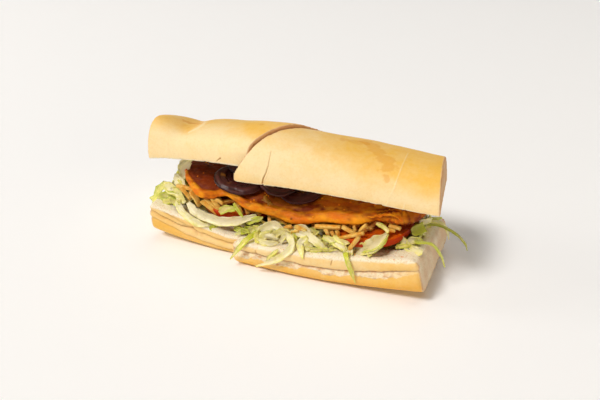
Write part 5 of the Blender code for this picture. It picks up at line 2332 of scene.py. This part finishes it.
TOSSED = (
    Shred(((5.3, -33.5, 26.6), (13.2, -32, 30.3), (22, -33, 30.6), (31, -37, 28.9), (39, -38, 25.4)),
          5.8, 0, 0.08, 1, 0.8, 0.2, 0.25),
    Shred(((22, -33.5, 30), (17.8, -38, 26.4), (20.5, -43.4, 24.4), (23.4, -47.6, 20.5)), 4.6, 0.1, 0.2,
          0.8, 0.7, 0.2, 0.2),
    Shred(((32.7, -31.6, 30.9), (40.6, -34, 31), (48.1, -37, 30.4), (54.2, -38, 27.6)), 5.4, 0, 0.38,
          0.9, 1.2, 0.3, 0.2),
    Shred(((15.2, -37.9, 23.6), (25.4, -40.2, 24.4), (35.5, -39.1, 25.8), (46, -37.6, 27)), 3.8, 0.3,
          0.3, 0.8, 1.5, 0.6, 0.2),
    Shred(((-15.9, -39.1, 22.6), (-6.8, -42, 23), (1.5, -38.2, 23.4)), 4.6, 0.3, 0.15, 0.8, 0.8, 0.2,
          0.3),
    Shred(((4.5, -30, 26.4), (13.1, -28.5, 32.6), (23, -29, 32.4)), 5.2, 0, 0.02, 0.9, 0.8, 0.3, 0.4),
    Shred(((38.3, -35.6, 25.6), (44.5, -35, 29.5), (52.7, -33.9, 27.4)), 4.6, 0.5, 0.4, 0.9, 1.2, -0.6,
          0.2),
    Shred(((55.6, -33, 27.3), (64.5, -38, 32.9), (72.5, -40.5, 40.4), (78.6, -33, 45.2)), 8.8, 0.1, 0.08,
          1.8, 0.5, 0.2, 0.25),
    Shred(((64.2, -39, 29.6), (72.2, -42, 35.2), (78.1, -41.5, 42.4), (80.2, -34, 45.5)), 3.6, 0.6, 0.6,
          0.9, 0.5, 0.3, 0.3),
    Shred(((69.4, -26, 47), (74.9, -27, 46.2), (78.5, -29, 44.3), (76.5, -33, 42.9)), 3.2, 0.3, 0.35,
          0.7, 0.8, 0.5, 0.4),
    Shred(((92.9, -17, 39.4), (96.9, -14, 40.4), (100.6, -10, 41.4)), 7.6, 0, 0.9, 0.5, 0.4, 0, 0.95),
    Shred(((96.5, -10, 43.9), (100, -5, 42.6), (103.6, 2, 41.3)), 4.6, 0.3, 0.1, 0.9, 0.8, 0.5, 0.5),
    Shred(((92, -26.2, 34.6), (95, -22.3, 37), (99.3, -20.6, 36.4), (103.2, -19.9, 33.9)), 5.4, 0.2,
          0.35, 1, 1.6, 0.8, 0.3),
    Shred(((84.7, -28, 32), (90, -27.4, 34.5), (95.9, -26.7, 34.9)), 3.4, 0.2, 0.5, 0.6, 1.2, 0.6, 0.3),
    Shred(((101.1, 9.7, 37.1), (105.3, 10.8, 36.9), (109.3, 12.6, 37.6)), 2.2, 0.3, 1, 0.3, 0.3),
    Shred(((-40.1, -25.8, 22.6), (-31.5, -30.4, 21.4), (-24.4, -29.5, 24.2), (-16.9, -31.6, 22.6)), 5.2,
          0.2, 0.75, 1, 2, 0.5, 0.4),
    Shred(((-17.5, -32.4, 23.4), (-12.5, -31.6, 28.6), (-5, -30.8, 32.4), (3.4, -31.4, 29.6)), 6.4, 0.1,
          0, 1.4, 0.6, 0.2, 0.5),
    Shred(((-16, -35, 22.4), (-8.5, -36, 25.6), (0.5, -36, 24.4)), 4.6, -0.2, 0.04, -1.2, 0.8, 0.3, 0.3),
    Shred(((-38, -29, 21.6), (-31.5, -31, 22.2), (-24.5, -31, 22)), 4.6, 0.2, 0.9, 1, 1.6, 0.4, 0.5),
    Shred(((-27, -30, 20.3), (-20.6, -30.3, 25.8), (-12.4, -31.5, 26)), 5, 0.1, 0.3, 0.9, 0.9, 0.2, 0.4),
    Shred(((-99, -8, 44), (-91.4, -12, 43.8), (-83, -18, 42.3)), 6.6, 0.2, 0.1, 0.9, 1.8, 0.4, 0.4),
    Shred(((-100.5, -26, 29.6), (-92.7, -26, 32.7), (-83.7, -28, 32.9)), 5.6, 0.3, 0.45, 0.9, 1.8, 0.4,
          0.4),
    Shred(((-97.3, -19, 35.6), (-89.7, -19, 39.8), (-81.9, -21, 37)), 6, 0.3, 0.08, 0.9, 1.6, 0.4, 0.4),
    Shred(((-93, 2, 42), (-94, -2, 49), (-92, -1, 55)), 8, 0.2, 0, 0.8, 1.6, 0.4),
    Shred(((-85.7, -26, 36.4), (-84.6, -28.5, 30.4), (-75.3, -33.1, 26.3), (-64.5, -35.1, 23.1), (-56.8,
          -33.6, 22.3)), 5.4, 0.1, 0.08, 0.9, 0.8, 0.2, 0.4),
    Shred(((-72, -27.5, 25.9), (-60.6, -30, 23.4), (-49, -29.9, 21.6)), 4.6, 0.3, 0.18, 0.8, 1.2, 0.3,
          0.3),
    Shred(((-55.3, -35, 19.6), (-54.1, -31.6, 21.4), (-51.6, -26.4, 21)), 3.8, 0.2, 0.8, 0.7, 1, 0, 0.6),
    Shred(((-49.6, -29, 32.2), (-44.2, -28.5, 37.2), (-36.6, -28.5, 38.2)), 5.4, 0.1, 0.6, 0.8, 1.4, 0.3,
          0.6),
    Shred(((-38.1, -27.5, 42.2), (-34.2, -29, 38), (-29.9, -30, 33.5)), 2.6, 0, 0.9, 0.4, 0.6),
    Shred(((-27.6, -29, 28), (-20.1, -29, 32.8), (-14.5, -28.5, 35.6)), 4.2, 0.1, 0.65, 0.6, 1.2, 0.3,
          0.3),
    Shred(((-6.5, -35, 23.6), (1.4, -33.5, 30.2), (9.2, -33, 29.8)), 5.6, 0.2, 0.25, 1, 1.2, 0.6, 0.4),
    Shred(((2.5, -28.7, 29.3), (9.9, -32.8, 28.2), (17.2, -37.9, 24.2)), 4.8, 0.3, 0.45, 0.9, 1.2, 0.4,
          0.2),
    Shred(((22.6, -31.7, 27), (29.8, -35.2, 25.9), (37.8, -34.6, 25.6)), 4.6, 0.2, 0.08, 0.9, 1.2, 0.4,
          0.3),
    Shred(((40.8, -33, 34.3), (47.6, -36, 33.6), (54.1, -36, 33.4)), 3.6, 0.2, 0.3, 0.9, 1, 0.4, 0.3),
)

SHOWN_STICKS = (
    ((-90.1, -20, 43.2), (-74.2, -20, 42.2), 3.4, 0.1),
    ((-85.4, -22, 43.3), (-77.5, -22, 34.1), 3.4, 0.05),
    ((-75.5, -24, 43.6), (-68.8, -24, 31.5), 5.2, 0.1),
    ((-66.3, -26, 37.5), (-53.3, -26, 28.5), 3.4, 0.1),
    ((-64.2, -24.5, 39.2), (-52.2, -24.5, 31.4), 3.2, 0.35),
    ((-58.5, -24, 40.7), (-51.4, -24, 32.4), 3.4, 0.15),
    ((-55.6, -23, 39.8), (-49, -23, 36.7), 3.4, 0.2),
    ((2, -29, 29.2), (8.5, -29, 32.8), 3.2, 0.2),
    ((11.2, -30, 34), (19.6, -30, 31.5), 3.4, 0.1),
    ((5.1, -31, 28), (14.6, -31, 31.9), 3, 0.3),
    ((24.9, -26, 34.5), (44.2, -26, 37.8), 3.6, 0),
    ((33.8, -29, 36.2), (36.7, -29, 30), 3.2, 0.1),
    ((38.5, -30, 35.9), (41.3, -30, 30.5), 3.2, 0.3),
    ((42.7, -30, 37.4), (43.9, -30, 31.1), 3.2, 0.15),
    ((45.6, -28, 40.2), (55.2, -28, 36.5), 3.4, 0.1),
    ((53.6, -26, 41.7), (55.4, -26, 37.2), 3.2, 0.4),
    ((63.1, -27, 44.4), (58.3, -27, 37.5), 3.4, 0.2),
    ((41.9, -32, 31), (62.9, -32, 41.2), 3.6, 0),
    ((44.3, -31, 28.9), (52.2, -31, 27.7), 3.2, 0.55),
    ((60.8, -37, 41), (54.2, -38, 29.2), 3.8, 0.5),
    ((78, -24, 45.9), (86.4, -24, 44.8), 3.4, 0.35),
    ((78, -26, 43.3), (82.8, -25, 42.9), 3.2, 0.2),
)


def beads(tree: BVHTree, area: tuple[float, float, float, float], count: int, size: tuple[float, float],
          seed: int) -> list[tuple[Vector, Vector, float]]:
    """Spots for small bits on the surface below an area.

    Args:
        tree: Search tree of what carries them.
        area: Least and greatest X, then least and greatest Y.
        count: How many to place.
        size: Least and greatest size.
        seed: Start of the random numbers.

    Returns:
        Place, normal and size of each.
    """
    rng = random.Random(seed)
    spots = []
    for _ in range(count):
        found = spot_below(tree, rng.uniform(*area[:2]), rng.uniform(*area[2:]))
        if found is not None:
            spots.append((*found, rng.uniform(*size)))
    return spots


def build_bread() -> BVHTree:
    """Build the four halves of the roll.

    Returns:
        Search tree of the lower right half, for what lies on it.
    """
    bread = WheatBread("wheat_bread_baked").make()
    halves = {
        "bread_bottom_left": LowerBread(Half.LEFT),
        "bread_bottom_right": LowerBread(Half.RIGHT, LOWER_CRACKS),
        "bread_top_left": Lid(Half.LEFT, (LEFT_LID_SMUDGE,), pale_lines=(LEFT_LID_SCRATCH,),
                              stains=LEFT_LID_STAINS),
        "bread_top_right": Lid(Half.RIGHT, (RIGHT_LID_CRACK,), pale_lines=RIGHT_LID_LINES,
                               stains=RIGHT_LID_STAINS)}
    trees = {}
    for name, half in halves.items():
        shape = half.dress()
        trees[name] = tree_of(shape)
        finished(name, shape, bread, "bread_crust", name)
    return trees["bread_bottom_right"]


def build_sandwich() -> None:
    """Build every piece from the bread outwards."""
    lower_tree = build_bread()
    fried = FriedBatter("batter_deep_fried").make()
    fish = FILLET.dress()
    fish_tree = tree_of(fish)
    finished("fish_fillet", fish, fried, "fried_batter", "fish_fillet")
    onion = CookedOnion("red_onion_cooked").make()
    for ring in ONION_RINGS:
        finished(ring.name, ring.dress(FILLET), onion, "cooked_onion", ring.name)
    flakes = [(*spot_below(fish_tree, x, y), size) for x, y, size in FILLET_FLAKES]
    flakes += [(*spot_below(lower_tree, x, y), size) for x, y, size in CRUMB_FLAKES]
    finished("onion_flakes", Scatter(flakes, 0.3, 1.1, 3, FLAKES_THIN).dress(), onion,
             "cooked_onion")
    tomato = TomatoFlesh("tomato_sliced").make()
    for piece in TOMATOES:
        finished(piece.name, piece.dress(), tomato, "tomato_flesh", piece.name)
    finished("lettuce", Lettuce((*HANGING, *TOSSED)).dress(), IcebergLeaf("iceberg_shredded").make(),
             "lettuce_leaf", "lettuce")
    finished("potato_sticks", PotatoSticks(SHOWN_STICKS).dress(), FriedPotato("potato_fried").make(),
             "fried_potato", "potato_sticks")
    crumbs = beads(fish_tree, (-80.0, 98.0, -24.0, 28.0), 90, (0.8, 1.9), 3)
    crumbs += beads(lower_tree, (-10.0, 100.0, -43.0, -38.0), 9, (0.5, 1.1), 4)
    finished("batter_crumbs", Scatter(crumbs).dress(), fried, "fried_batter")


def main() -> None:
    """Build the studio and the sandwich."""
    logging.basicConfig(level=logging.INFO, format="%(name)s %(message)s")
    Studio().build()
    build_sandwich()


if __name__ == "__main__":
    main()
